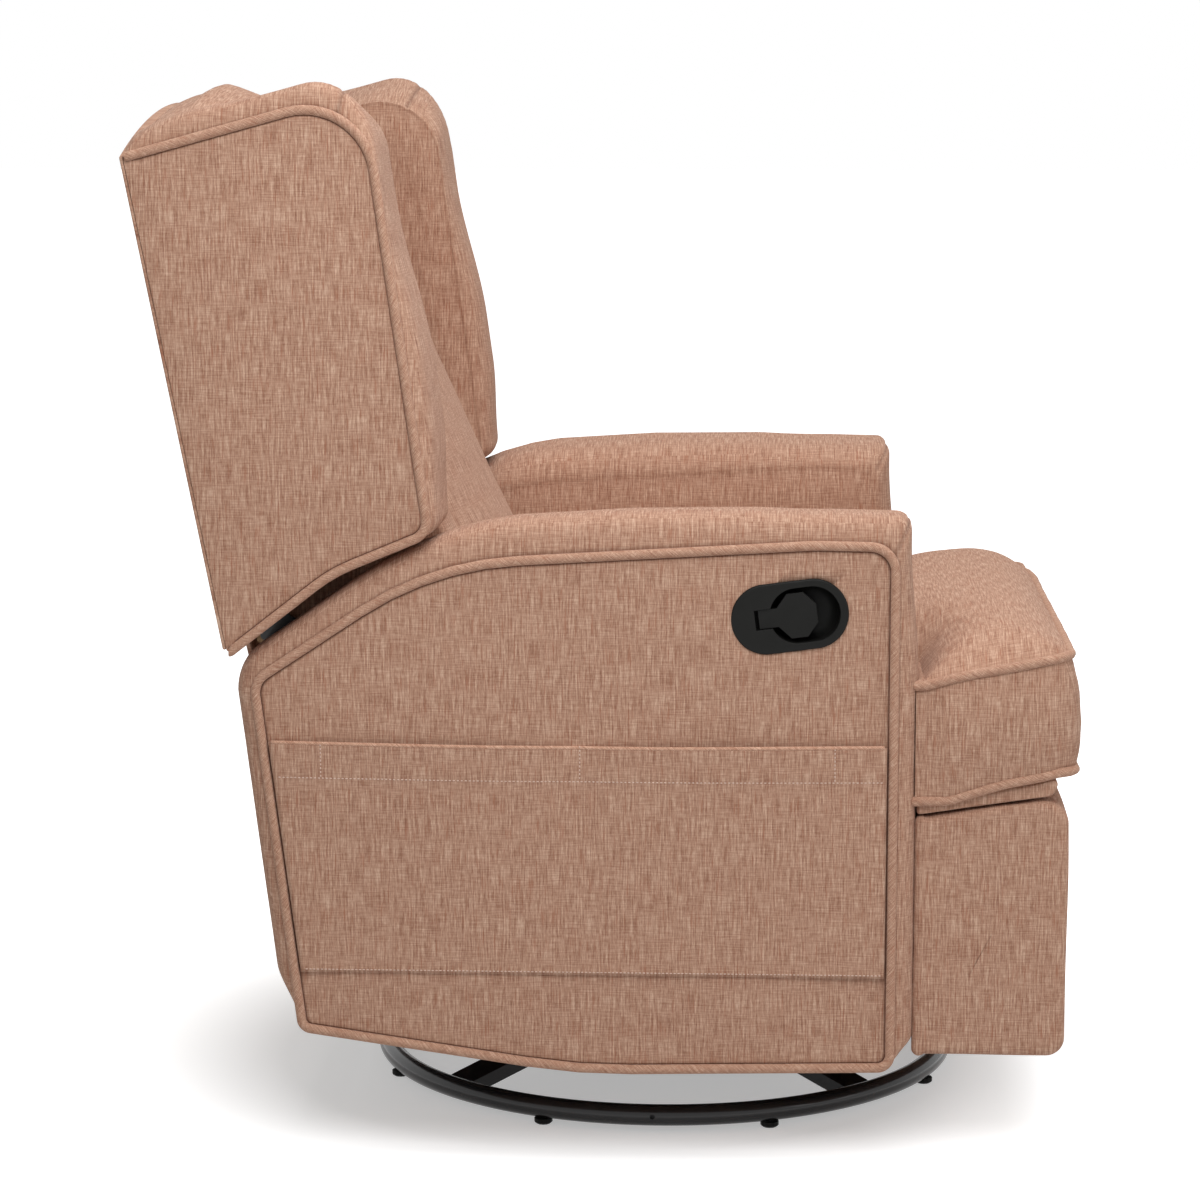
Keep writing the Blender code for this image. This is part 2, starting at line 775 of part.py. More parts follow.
def build_chassis():
    """The rails, tubes and side plates that hang from the swing links."""
    front = PIVOT_YS["front"] - RAIL_OVERHANG
    rear = -REAR_TUBE_REACH + 2.0 * CROSS_TUBE
    low = LOWER_PIVOT_Z - HANGER_HEIGHT / 2.0
    high = LOWER_PIVOT_Z + HANGER_HEIGHT / 2.0
    for name, side in SIDES.items():
        ends = (side * HANGER_X, side * (HANGER_X + HANGER_WIDTH))
        rail = box(f"hanger_rail_{name}", (min(ends), front, low), (max(ends), rear, high), steel(), bevel=0.0012)
        for y in PIVOT_YS.values():
            add_pin(rail, side, (y, LOWER_PIVOT_Z), HANGER_X + 0.004, SWING_X - 0.001)
        build_mechanism_plate(name, side)
    tube_z = high + GAP + CROSS_TUBE
    half = WEB_X - GAP
    for name, reach in (("front", FRONT_TUBE_REACH), ("rear", REAR_TUBE_REACH)):
        rod(f"cross_tube_{name}", (-half, -reach, tube_z), (half, -reach, tube_z), CROSS_TUBE, steel(), sides=16)


def build_mechanism_plate(name, side):
    tube_z = LOWER_PIVOT_Z + HANGER_HEIGHT / 2.0 + GAP + CROSS_TUBE
    edge = 0.014
    drive = forward(LINKAGE.drive)
    control = forward(LINKAGE.control)
    top = cushion_base(LINKAGE.drive.x) - 0.004
    seat_rear_top = cushion_base(-CUSHION_REAR_Y) - 0.006
    outline = rounded([
        (drive[0] - edge, top, 0.008),
        (drive[0] - edge, drive[1] - edge, 0.010),
        (control[0] - edge, control[1] - edge, 0.030),
        (-FRONT_TUBE_REACH - 2.0 * edge, tube_z - 1.6 * edge, 0.014),
        (-REAR_TUBE_REACH + 1.6 * edge, tube_z - 1.6 * edge, 0.014),
        (BACK_PIVOT[0] + 1.6 * edge, BACK_PIVOT[1] - 0.060, 0.030),
        (BACK_PIVOT[0] + edge, BACK_PIVOT[1] + edge, 0.013),
        (BACK_PIVOT[0] - edge, BACK_PIVOT[1] + edge, 0.013),
        (BACK_PIVOT[0] - 2.5 * edge, BACK_PIVOT[1] - 0.060, 0.030),
        (CUSHION_REAR_Y, seat_rear_top, 0.030),
    ], math.radians(22.5))
    plate = side_plate(f"mechanism_plate_{name}", side, [outline], WEB_X, WEB_X + PLATE, steel())
    inside = WEB_X + PLATE / 2.0
    add_pin(plate, side, drive, inside, DRIVE_PLANE[0] - GAP)
    add_pin(plate, side, control, inside, CONTROL_PLANE[0] - GAP)
    add_pin(plate, side, BACK_PIVOT, inside, CONTROL_PLANE[0] - GAP)
    return plate


def build_footrest():
    link = LINKAGE
    hole = PIN_RADIUS + PIN_PLAY
    for name, side in SIDES.items():
        drive = side_plate(
            f"drive_link_{name}", side,
            [bar_outline(forward(link.elbow), forward(link.drive), DRIVE_HALF), circle(forward(link.drive), hole)],
            *DRIVE_PLANE, zinc(),
        )
        lobe = side_plate(
            "lobe", side,
            [bar_outline(forward(link.tube), forward(link.drive - (link.drive - link.tube) * 0.35), DRIVE_HALF)],
            DRIVE_PLANE[0], DRIVE_PLANE[1], zinc(),
        )
        boolean(drive, lobe, "UNION")
        middle = sum(DRIVE_PLANE) / 2.0
        add_pin(drive, side, forward(link.elbow), middle, CARRIER_PLANE[0] - GAP)
        add_pin(drive, side, forward(link.stay), middle, STAY_PLANE[0] - GAP)
        carrier = side_plate(
            f"carrier_link_{name}", side,
            [
                bar_outline(forward(link.tail), forward(link.bracket), LINK_HALF),
                circle(forward(link.elbow), hole), circle(forward(link.tail), hole),
            ],
            *CARRIER_PLANE, zinc(),
        )
        add_pin(carrier, side, forward(link.bracket), sum(CARRIER_PLANE) / 2.0, DRIVE_PLANE[1] + GAP)
        side_plate(
            f"control_link_{name}", side,
            [
                bar_outline(forward(link.tail), forward(link.control), LINK_HALF),
                circle(forward(link.tail), hole), circle(forward(link.control), hole),
            ],
            *CONTROL_PLANE, zinc(),
        )
        side_plate(
            f"stay_link_{name}", side,
            [
                bar_outline(forward(link.stay), forward(link.stay_end), LINK_HALF),
                circle(forward(link.stay), hole), circle(forward(link.stay_end), hole),
            ],
            *STAY_PLANE, zinc(),
        )
        build_bracket(name, side)
    half = DRIVE_PLANE[0] - GAP
    y, z = forward(link.tube)
    rod("torque_tube", (-half, y, z), (half, y, z), TORQUE_TUBE, steel(), sides=14)
    build_block()


def build_bracket(name, side):
    link = LINKAGE
    hole = PIN_RADIUS + PIN_PLAY
    face = BLOCK_REAR - GAP
    back = link.bracket.x - LINK_HALF
    outline = rounded([
        (-face, link.stay_end.y + 0.016, 0.004), (-face, link.bracket.y - 0.045, 0.004),
        (-face + 0.012, link.bracket.y - 0.045, 0.006), (-back, link.bracket.y - LINK_HALF, 0.008),
        (-back, link.stay_end.y + 0.010, 0.010),
    ], math.radians(30.0))
    bracket = side_plate(
        f"footrest_bracket_{name}", side, [outline, circle(forward(link.bracket), hole)],
        *DRIVE_PLANE, zinc(),
    )
    ends = (side * (DRIVE_PLANE[0] + PLATE / 2.0), side * (INNER_ARM_X - GAP))
    flange = box(
        "flange", (min(ends), -face, link.bracket.y - 0.043), (max(ends), -face + PLATE, link.stay_end.y + 0.014),
        zinc(), where=CUTTERS,
    )
    boolean(bracket, flange, "UNION")
    add_pin(bracket, side, forward(link.stay_end), sum(DRIVE_PLANE) / 2.0, STAY_PLANE[0] - GAP)
    return bracket


def build_block():
    """The upholstered footrest block and the board that its brackets screw to."""
    outline = rounded([
        (-BLOCK_REAR, BLOCK_LOW, 0.010), (-BLOCK_REAR, block_top(BLOCK_REAR), 0.010),
        (-BLOCK_FRONT, BLOCK_HIGH, BLOCK_ROUND), (-BLOCK_FRONT, BLOCK_LOW, BLOCK_ROUND * 0.8),
    ], math.radians(22.5))
    ends = BLOCK_HALF
    stations = padded_stations(-ends, ends, SEAM_ROUND)

    def crown(point, normal):
        return 0.005 * max(0.0, -normal.x) ** 2

    pad = padded_slab("footrest_pad", outline, stations, crown, fabric())
    margin = 0.030
    low = BLOCK_LOW + 0.020
    high = block_top(BLOCK_REAR) - 0.018
    rear = -BLOCK_REAR
    pocket = box(
        "pocket_cut", (-ends + margin - GAP, rear - FOOT_BOARD - GAP, low - GAP),
        (ends - margin + GAP, rear + 0.010, high + GAP), wood(), where=CUTTERS,
    )
    boolean(pad, pocket, "DIFFERENCE")
    box("footrest_board", (-ends + margin, rear - FOOT_BOARD, low), (ends - margin, rear, high), wood())


def padded_stations(start, end, round_over):
    """Stations across a pad whose two end faces roll over by round_over."""
    stations = []
    span = end - start
    for angle in (0.0, 30.0, 60.0, 90.0):
        a = math.radians(angle)
        x = start + math.copysign(round_over * (1.0 - math.cos(a)), span)
        stations.append((x, round_over * (1.0 - math.sin(a)), 0.0))
    inner = [(start + span * share, 0.0, 1.0 - (2.0 * share - 1.0) ** 2) for share in (0.2, 0.35, 0.5, 0.65, 0.8)]
    mirror = [(start + end - x, inset, share) for x, inset, share in reversed(stations)]
    return stations + inner + mirror


def welted_stations(side):
    """Stations from the welted outer face of an arm or wing to its flat inner face."""
    outer = HALF_WIDTH
    stations = [
        (outer, 2.0 * WELT, 0.0), (outer + 0.8 * WELT, 1.7 * WELT, 0.0), (outer + WELT, 0.9 * WELT, 0.0),
        (outer + 0.5 * WELT, 0.1 * WELT, 0.0), (outer - 0.6 * WELT, 0.1 * WELT, 0.02),
    ]
    for share in (0.08, 0.20, 0.36, 0.54, 0.72, 0.87, 0.96):
        swell = math.sqrt(1.0 - (2.0 * share - 1.0) ** 2)
        stations.append((outer - ARM_WIDTH * share, 0.0, swell))
    stations.append((INNER_ARM_X, 0.0, 0.0))
    return [(side * x, inset, share) for x, inset, share in stations]


def arm_outline():
    return rounded([
        (ARM_FRONT_Y, ARM_TOE_Z, 0.012), (ARM_FRONT_Y, ARM_TOP_Z, 0.025),
        (ARM_CREST_Y, ARM_CREST_Z, 0.130), (ARM_TAIL_Y, ARM_TAIL_Z, 0.022),
        (ARM_HEEL_Y, ARM_HEEL_Z, 0.010), (0.02, ARM_BELLY_Z, 0.600),
    ])


def arm_crown(point, normal):
    top = ARM_CROWN_TOP * max(0.0, normal.y) ** 2
    if normal.x < 0.0:
        return top + ARM_CROWN_FRONT * normal.x ** 2 * min(1.0, max(0.0, point[1] - ARM_TOE_Z) / 0.06)
    return top + ARM_CROWN_BACK * normal.x ** 2 * min(1.0, max(0.0, point[1] - ARM_HEEL_Z) / 0.06)


def build_arms():
    for name, side in SIDES.items():
        padded_slab(f"arm_{name}", arm_outline(), welted_stations(side), arm_crown, fabric())
    build_handle()
    build_pocket()


def handle_point(along, up):
    """(y, z) of a point measured along the handle, towards the front, and up from it."""
    c = math.cos(HANDLE_TILT)
    s = math.sin(HANDLE_TILT)
    return (HANDLE_Y - along * c + up * s, HANDLE_Z + along * s + up * c)


def stadium(center_along, length, height, sides=8):
    """A racetrack outline centred that far along the handle."""
    half = height / 2.0
    straight = length / 2.0 - half
    points = []
    for middle, base in ((straight, -math.pi / 2.0), (-straight, math.pi / 2.0)):
        for k in range(sides + 1):
            angle = base + math.pi * k / sides
            points.append(handle_point(
                center_along + middle + half * math.cos(angle), half * math.sin(angle),
            ))
    return points


def build_handle():
    """The moulded bezel let into the right arm, and the paddle that pulls out of it."""
    face = HALF_WIDTH
    arm = bpy.data.objects["arm_right"]
    body_length = HANDLE_LENGTH - 2.0 * 0.006
    body_height = HANDLE_HEIGHT - 2.0 * 0.006
    hole = flat_plate(
        "handle_hole", [stadium(0.0, body_length + 2.0 * GAP, body_height + 2.0 * GAP)],
        -face - 0.010, -face + CUP_DEPTH + BEZEL_WALL + GAP, plastic(), CUTTERS,
    )
    boolean(arm, hole, "DIFFERENCE")
    bezel = flat_plate(
        "release_bezel", [stadium(0.0, HANDLE_LENGTH, HANDLE_HEIGHT)],
        -face - GAP - BEZEL_PROUD, -face - GAP, plastic(),
    )
    body = flat_plate(
        "body", [stadium(0.0, body_length, body_height)],
        -face - GAP - BEZEL_PROUD / 2.0, -face + CUP_DEPTH + BEZEL_WALL, plastic(), CUTTERS,
    )
    boolean(bezel, body, "UNION")
    cup_height = body_height - 2.0 * BEZEL_WALL
    cup_length = 0.066
    cup_center = body_length / 2.0 - BEZEL_WALL - cup_length / 2.0
    cup = flat_plate(
        "cup", [stadium(cup_center, cup_length, cup_height)],
        -face - GAP - 2.0 * BEZEL_PROUD, -face + CUP_DEPTH, plastic(), CUTTERS,
    )
    boolean(bezel, cup, "DIFFERENCE")
    stem_half = 0.0115
    stem_rear = -body_length / 2.0 + 0.012
    slot = flat_plate(
        "slot", [[
            handle_point(stem_rear, -stem_half), handle_point(0.0, -stem_half),
            handle_point(0.0, stem_half), handle_point(stem_rear, stem_half),
        ]],
        -face - GAP - 2.0 * BEZEL_PROUD, -face + CUP_DEPTH * 0.55, plastic(), CUTTERS,
    )
    boolean(bezel, slot, "DIFFERENCE")
    build_paddle(stem_rear, stem_half, cup_center, cup_length)


def build_paddle(stem_rear, stem_half, cup_center, cup_length):
    play = 0.0008
    rear = stem_rear + PADDLE_SETBACK
    half = stem_half - play
    head_rear = cup_center - cup_length / 2.0 + 0.008
    head_front = head_rear + 0.036
    head_half = 0.0195
    corner = 0.010
    outline = [
        (rear, -half), (head_rear, -half), (head_rear, -head_half + corner), (head_rear + corner * 0.8, -head_half),
        (head_front - corner, -head_half), (head_front, -head_half + corner), (head_front, head_half - corner),
        (head_front - corner, head_half), (head_rear + corner * 0.8, head_half), (head_rear, head_half - corner),
        (head_rear, half), (rear, half),
    ]
    face = HALF_WIDTH
    paddle = flat_plate(
        "release_paddle", [[handle_point(a, u) for a, u in outline]],
        -face - 0.0005, -face - 0.0005 + PADDLE_THICK, plastic(),
    )
    pivot_along = rear + PADDLE_PIVOT
    low = handle_point(pivot_along, -half)
    high = handle_point(pivot_along, half)
    x = -face - 0.0005 + PADDLE_THICK
    barrel = rod("barrel", (x, *low), (x, *high), 0.0050, plastic(), sides=12, where=CUTTERS)
    return boolean(paddle, barrel, "UNION")


def build_pocket():
    """The side pocket: sewn down at its ends, foot and middle, open along the hem."""
    rear = ARM_HEEL_Y + (POCKET_LOW - ARM_HEEL_Z) * (ARM_TAIL_Y - ARM_HEEL_Y) / (ARM_TAIL_Z - ARM_HEEL_Z)
    margin = 2.0 * WELT + 0.001
    front = ARM_FRONT_Y + margin
    rear -= margin
    columns = 16
    rows = 6
    bm = bmesh.new()
    bmesh.ops.create_grid(bm, x_segments=columns, y_segments=rows, size=1.0)
    for vert in bm.verts:
        across = (vert.co.x + 1.0) / 2.0
        up = (vert.co.y + 1.0) / 2.0
        slack = abs(math.sin(2.0 * math.pi * across)) ** 0.7 * up ** 0.8
        stand = GAP + POCKET_CLOTH / 2.0 + POCKET_BULGE * slack
        vert.co = (
            -HALF_WIDTH - stand,
            front + (rear - front) * across,
            POCKET_LOW + (POCKET_TOP - POCKET_LOW) * up,
        )
    obj = from_bmesh("side_pocket", bm, fabric())
    wall = obj.modifiers.new("cloth", "SOLIDIFY")
    wall.thickness = POCKET_CLOTH
    wall.offset = 0.0
    return obj


def wing_outline():
    rear_top = (back_y(WING_REAR_TOP[1], BACK_PANEL + GAP), WING_REAR_TOP[1])
    rear_low = (back_y(WING_REAR_LOW[1], BACK_PANEL + GAP), WING_REAR_LOW[1])
    return rounded([
        (*rear_top, 0.0), (*WING_PEAK, 0.042), (*WING_CHIN, 0.018),
        (*WING_BEND, 0.150), (*rear_low, 0.0),
    ])


def wing_crown(point, normal):
    """The wing's band swells along the top and front and is flat behind and below."""
    taper = ease(WING_REAR_TOP[0] - point[0], 0.0, WING_TAPER)
    top = WING_CROWN_TOP * max(0.0, normal.y) ** 2 * taper
    front = WING_CROWN_FRONT * max(0.0, -normal.x) ** 2
    if normal.y < 0.0:
        front *= 1.0 - normal.y ** 2
    return top + front


def wing_rise(place):
    """The wing's rear top follows the arched back."""
    behind = ease(place.y, WING_REAR_TOP[0] - WING_TAPER, WING_REAR_TOP[0] - BACK_PANEL)
    return arch_rise(place.x) * behind * ease(place.z, WING_REAR_TOP[1] - WING_TAPER, WING_REAR_TOP[1])


def build_back():
    for name, side in SIDES.items():
        wing = padded_slab(f"wing_{name}", wing_outline(), welted_stations(side), wing_crown, fabric())
        slide_up_back(wing, wing_rise)
        build_back_frame_side(name, side)
    build_back_rails()
    build_outside_back()
    build_back_cushion()


def build_back_frame_side(name, side):
    depth = BACK_PANEL + GAP
    outer = CONTROL_PLANE[0] - GAP
    top = WING_REAR_TOP[1] - 0.012
    post = [
        (back_y(POST_LOW, depth), POST_LOW), (back_y(top, depth), top),
        (back_y(top, depth + POST_DEPTH), top), (back_y(POST_LOW, depth + POST_DEPTH), POST_LOW),
    ]
    side_plate(f"back_post_{name}", side, [post], outer - POST_WIDTH, outer, wood())
    pivot = BACK_PIVOT
    half = 0.012
    bend = (pivot[0] + 0.048, pivot[1] + 0.090)
    upper = 0.640
    inner = back_y(upper, depth + POST_DEPTH)
    outline = rounded([
        (pivot[0] - half, pivot[1] - half, half * 0.9), (pivot[0] + half, pivot[1] - half, half * 0.9),
        (bend[0] + half * 1.6, bend[1] - half * 0.2, 0.012),
        (back_y(POST_LOW, depth + 0.004), POST_LOW + 0.004, 0.004), (back_y(upper, depth + 0.004), upper, 0.004),
        (inner, upper, 0.004), (back_y(POST_LOW + 0.03, depth + POST_DEPTH), POST_LOW + 0.03, 0.020),
        (bend[0] - half, bend[1] + half * 0.8, 0.020),
    ], math.radians(30.0))
    side_plate(
        f"back_bracket_{name}", side, [outline, circle(pivot, PIN_RADIUS + PIN_PLAY)],
        *CONTROL_PLANE, steel(),
    )


def build_back_rails():
    depth = BACK_PANEL + GAP
    half = CONTROL_PLANE[0] - POST_WIDTH - 2.0 * GAP
    top = WING_REAR_TOP[1] - 0.012
    for name, low in (("top", top - BACK_RAIL_HEIGHT), ("bottom", POST_LOW)):
        high = low + BACK_RAIL_HEIGHT
        slanted(
            f"back_rail_{name}", low, high, back_y(low, depth), back_y(high, depth), POST_DEPTH, half, wood(),
        )


def build_outside_back():
    """The leaning rear panel: full width behind the wings, narrow between the arms."""
    low = WING_REAR_LOW
    high = WING_REAR_TOP
    tilt = math.atan2(high[0] - low[0], high[1] - low[1])
    wide = HALF_WIDTH
    narrow = INNER_ARM_X - 0.004
    scale = 1.0 / math.cos(tilt)
    bottom = (BACK_PANEL_LOW - low[1]) * scale
    steps = 16
    arch = [wide * (2.0 * k / steps - 1.0) for k in range(steps + 1)]
    outline = rounded([
        (-wide, 0.004, 0.006), *((x, (high[1] - low[1] + arch_rise(x)) * scale, 0.0) for x in arch),
        (wide, 0.004, 0.006),
        (narrow, 0.004, 0.0), (narrow, bottom, 0.010), (-narrow, bottom, 0.010), (-narrow, 0.004, 0.0),
    ], math.radians(30.0))
    curve = bpy.data.curves.new("outside_back", "CURVE")
    curve.dimensions = "2D"
    curve.fill_mode = "BOTH"
    curve.extrude = BACK_PANEL / 2.0
    spline = curve.splines.new("POLY")
    spline.points.add(len(outline) - 1)
    for point, (a, b) in zip(spline.points, outline):
        point.co = (a, b, 0.0, 1.0)
    spline.use_cyclic_u = True
    obj = bpy.data.objects.new("outside_back", curve)
    obj.rotation_euler = (math.pi / 2.0 - tilt, 0.0, 0.0)
    obj.location = (0.0, low[0] - BACK_PANEL / 2.0 * math.cos(tilt), low[1] + BACK_PANEL / 2.0 * math.sin(tilt))
    place(obj, fabric())
    return as_mesh(obj)


def build_back_cushion():
    """Lumbar and head padding in one, bowed across the chair and arched along its top."""
    behind = BACK_PANEL + GAP
    depth = BACK_PANEL + POST_DEPTH + 3.0 * GAP
    step = WING_REAR_TOP[1] + 0.005
    peak = WING_REAR_TOP[1] + BACK_ARCH
    foot = cushion_base(-CUSHION_REAR_Y) + CUSHION_BORDER + 0.020
    frame_top = WING_REAR_TOP[1] - 0.009
    outline = rounded([
        (0.092, foot, 0.016), (0.116, 0.500, 0.060), (0.163, 0.593, 0.200), (0.225, 0.731, 0.300),
        (0.306, 0.950, 0.120), (0.342, peak - 0.004, 0.050), (0.400, peak + 0.004, 0.060),
        (back_y(peak - 0.006, behind), peak - 0.006, 0.0), (back_y(step, behind), step, 0.0),
        (back_y(step, depth), step, 0.0), (back_y(frame_top, depth), frame_top, 0.0),
        (back_y(foot, depth), foot, 0.0),
    ], math.radians(18.0))

    def crown(point, normal):
        return BACK_CROWN * max(0.0, -normal.x) ** 2 * ease(point[1], foot, 0.500)

    stations = padded_stations(-BACK_HALF, BACK_HALF, SEAM_ROUND)
    cushion = padded_slab("back_cushion", outline, stations, crown, fabric())

    def drop(place):
        return (arch_rise(place.x) - BACK_ARCH) * ease(place.z, step, peak)

    slide_up_back(cushion, drop)
    return cushion


def build_seat():
    front_end = -APRON_REAR + GAP
    rear_face = CUSHION_REAR_Y - BOARD
    top_front = cushion_base(-front_end) - GAP
    top_rear = cushion_base(-rear_face + GAP) - GAP
    notch_y = 0.0045 - BLOCK_REAR
    notch_z = block_top(BLOCK_REAR) + SOFT_GAP
    for name, side in SIDES.items():
        outline = [
            (front_end, top_front), (rear_face - GAP, top_rear),
            (rear_face - GAP, top_rear - SEAT_BOARD_HEIGHT), (notch_y, top_front - SEAT_BOARD_HEIGHT),
            (notch_y, notch_z), (front_end, notch_z),
        ]
        side_plate(f"seat_rail_{name}", side, [outline], SIDE_BOARD_X, SIDE_BOARD_X + BOARD * 0.9, wood())
    board_top = cushion_base(-CUSHION_REAR_Y) - GAP
    half = WEB_X - GAP
    box(
        "seat_rail_rear", (-half, rear_face, board_top - REAR_BOARD_HEIGHT), (half, CUSHION_REAR_Y, board_top), wood(),
    )
    build_apron()
    build_suspension(front_end, rear_face)
    build_seat_cushion()


def build_apron():
    """The padded front rail that the cushion's ears sit on."""
    near = APRON_REAR
    far = APRON_REAR + APRON_DEPTH
    outline = rounded([
        (-near, block_top(near) + SOFT_GAP, 0.003), (-far, block_top(far) + SOFT_GAP, 0.006),
        (-far, block_top(far) + SOFT_GAP + APRON_THICK, 0.006), (-near, block_top(near) + SOFT_GAP + APRON_THICK, 0.003),
    ], math.radians(30.0))
    flat_plate("seat_rail_front", [outline], -EAR_HALF + 0.008, EAR_HALF - 0.008, fabric())


def build_suspension(front_end, rear_face):
    """Sinuous springs from the rear seat rail to the front one, with their clip strips."""
    start = rear_face - GAP
    end = front_end + GAP
    half = SIDE_BOARD_X - 0.012

    def deck(y):
        return cushion_base(-y) - 0.010

    strip = 0.0030
    bars = []
    for y0, y1 in ((end, end + strip), (start - strip, start)):
        z = deck((y0 + y1) / 2.0)
        bars.append(box("seat_suspension", (-half, y0, z - 0.006), (half, y1, z + 0.004), zinc()))
    frame = bars[0]
    first = end + strip / 2.0
    last = start - strip / 2.0
    for i in range(SPRING_COUNT):
        x = -half + half * 2.0 * (i + 0.5) / SPRING_COUNT
        points = [(x, first, deck(first))]
        for k in range(SPRING_BENDS):
            y = first + (last - first) * (k + 0.7) / (SPRING_BENDS + 0.4)
            sway = SPRING_SWAY if k % 2 == 0 else -SPRING_SWAY
            points.append((x - sway, y, deck(y)))
            points.append((x + sway, y, deck(y)))
        points.append((x, last, deck(last)))
        wire = as_mesh(tube("spring", points, SPRING_WIRE, zinc(), resolution=0, where=CUTTERS))
        boolean(frame, wire, "UNION")
    boolean(frame, bars[1], "UNION")
    frame.name = "seat_suspension"
    return frame


def build_seat_cushion():
    """A T cushion: a coarse cage of a floor, a waist and a crowned top, then subdivided."""
    body = INNER_ARM_X - SOFT_GAP
    ear = (body + EAR_HALF) / 2.0
    right = [body * 0.2, body * 0.6, body, ear, EAR_HALF]
    xs = [-x for x in reversed(right)] + right
    ys = [CUSHION_FRONT_Y, -0.400, -0.350, -EAR_REAR, -0.190, -0.060, 0.020, CUSHION_REAR_Y]
    bm = bmesh.new()
    bmesh.ops.create_grid(bm, x_segments=len(xs) - 1, y_segments=len(ys) - 1, size=1.0)
    outside = []
    for face in bm.faces:
        middle = face.calc_center_median()
        column = int((middle.x + 1.0) / 2.0 * (len(xs) - 1))
        row = int((middle.y + 1.0) / 2.0 * (len(ys) - 1))
        if row >= 3 and not 2 <= column <= len(xs) - 4:
            outside.append(face)
    bmesh.ops.delete(bm, geom=outside, context="FACES")
    for vert in bm.verts:
        column = round((vert.co.x + 1.0) / 2.0 * (len(xs) - 1))
        row = round((vert.co.y + 1.0) / 2.0 * (len(ys) - 1))
        vert.co = (xs[column], ys[row], 0.0)
    for _ in range(2):
        made = bmesh.ops.extrude_face_region(bm, geom=[f for f in bm.faces if _is_top(f, bm)])
        raised = [g for g in made["geom"] if isinstance(g, bmesh.types.BMVert)]
        bmesh.ops.translate(bm, vec=(0.0, 0.0, 1.0), verts=raised)
    lifted = [f for f in bm.faces if all(abs(v.co.z - 1.0) < 0.1 for v in f.verts)]
    bmesh.ops.delete(bm, geom=lifted, context="FACES")
    crease = bm.edges.layers.float.new("crease_edge")
    bm.normal_update()
    rim = {v for v in bm.verts if any(abs(f.normal.z) < 0.5 for f in v.link_faces)}
    for edge in bm.edges:
        level = edge.verts[0].co.z
        same = abs(edge.verts[0].co.z - edge.verts[1].co.z) < 0.1
        if same and level != 1.0 and all(v in rim for v in edge.verts) and len(edge.link_faces) == 2:
            steep = [abs(f.normal.z) < 0.5 for f in edge.link_faces]
            if any(steep) and not all(steep):
                edge[crease] = 0.75
        start = edge.verts[0].co
        upright = abs(start.z - edge.verts[1].co.z) > 0.1
        if upright and abs(abs(start.x) - body) < 0.0001 and abs(start.y + EAR_REAR) < 0.0001:
            edge[crease] = 1.0
    for vert in bm.verts:
        x, y, level = vert.co
        base = cushion_base(-y)
        across = 1.0 - (x / (EAR_HALF + 0.008)) ** 2
        border = CUSHION_BORDER + 0.026 * across
        if level == 0.0:
            z = base
        elif level == 1.0:
            z = base + border * 0.5
            if y <= CUSHION_FRONT_Y:
                vert.co.y = y - 0.007
        else:
            z = base + border
            if vert not in rim:
                z += CUSHION_CROWN * across ** 0.5
        vert.co.z = z
    obj = from_bmesh("seat_cushion", bm, fabric(), smooth=60)
    smooth = obj.modifiers.new("soft", "SUBSURF")
    smooth.levels = 1
    smooth.render_levels = 1
    return obj


def _is_top(face, bm):
    highest = max(v.co.z for v in bm.verts)
    return all(abs(v.co.z - highest) < 0.1 for v in face.verts)


def build_valance():
    low_y, low_z = VALANCE_LOW
    top_y, top_z = VALANCE_TOP
    slanted(
        "rear_valance", low_z, top_z, low_y, top_y, VALANCE_THICK, INNER_ARM_X - GAP, fabric(),
    )


def main():
    clear_scene()
    build_ring_base()
    build_carriage()
    build_chassis()
    build_footrest()
    build_seat()
    build_arms()
    build_valance()
    build_back()


main()
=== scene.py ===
"""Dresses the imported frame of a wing-back swivel glider recliner.

The frame comes from the CAD model. This script stands soft covers, piping, a moulded
release handle and finished metalwork on it, gives every surface its material, and sets
up a pale studio with the camera at the photographed angle.
"""
import logging
import math
from dataclasses import dataclass
from enum import Enum
from typing import Callable, Iterable, Sequence

import bmesh
import bpy
import numpy as np
from mathutils import Matrix, Vector, noise


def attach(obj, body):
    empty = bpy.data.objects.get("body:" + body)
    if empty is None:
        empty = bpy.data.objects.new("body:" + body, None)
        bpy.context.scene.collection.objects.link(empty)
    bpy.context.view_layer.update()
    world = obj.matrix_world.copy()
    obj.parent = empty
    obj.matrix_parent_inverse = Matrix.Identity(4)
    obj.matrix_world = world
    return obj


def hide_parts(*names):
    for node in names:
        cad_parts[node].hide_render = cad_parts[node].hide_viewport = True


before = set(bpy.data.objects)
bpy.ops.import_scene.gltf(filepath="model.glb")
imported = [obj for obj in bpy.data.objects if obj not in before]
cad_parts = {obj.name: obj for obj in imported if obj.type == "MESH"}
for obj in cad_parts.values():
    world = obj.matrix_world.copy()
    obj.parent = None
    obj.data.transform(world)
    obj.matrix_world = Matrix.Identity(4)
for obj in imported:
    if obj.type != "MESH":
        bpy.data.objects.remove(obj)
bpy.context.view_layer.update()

LOG = logging.getLogger("recliner")

Piece = bpy.types.Object
Pair = tuple[float, float]
Triple = tuple[float, float, float]
Outline = list[Pair]
Crown = Callable[[np.ndarray, np.ndarray], float]

WEAVE_MAP = "weave"
# The seam layer holds painted shade: how far the cloth is darkened beside the piping and along the gussets.
SEAM_SHADE_LAYER = "seam"


class Side(Enum):
    """The sitter's right and left, as the sign of x."""

    RIGHT = -1.0
    LEFT = 1.0

    @property
    def label(self) -> str:
        """The side's name as the frame's nodes spell it."""
        return self.name.lower()


# Shader building


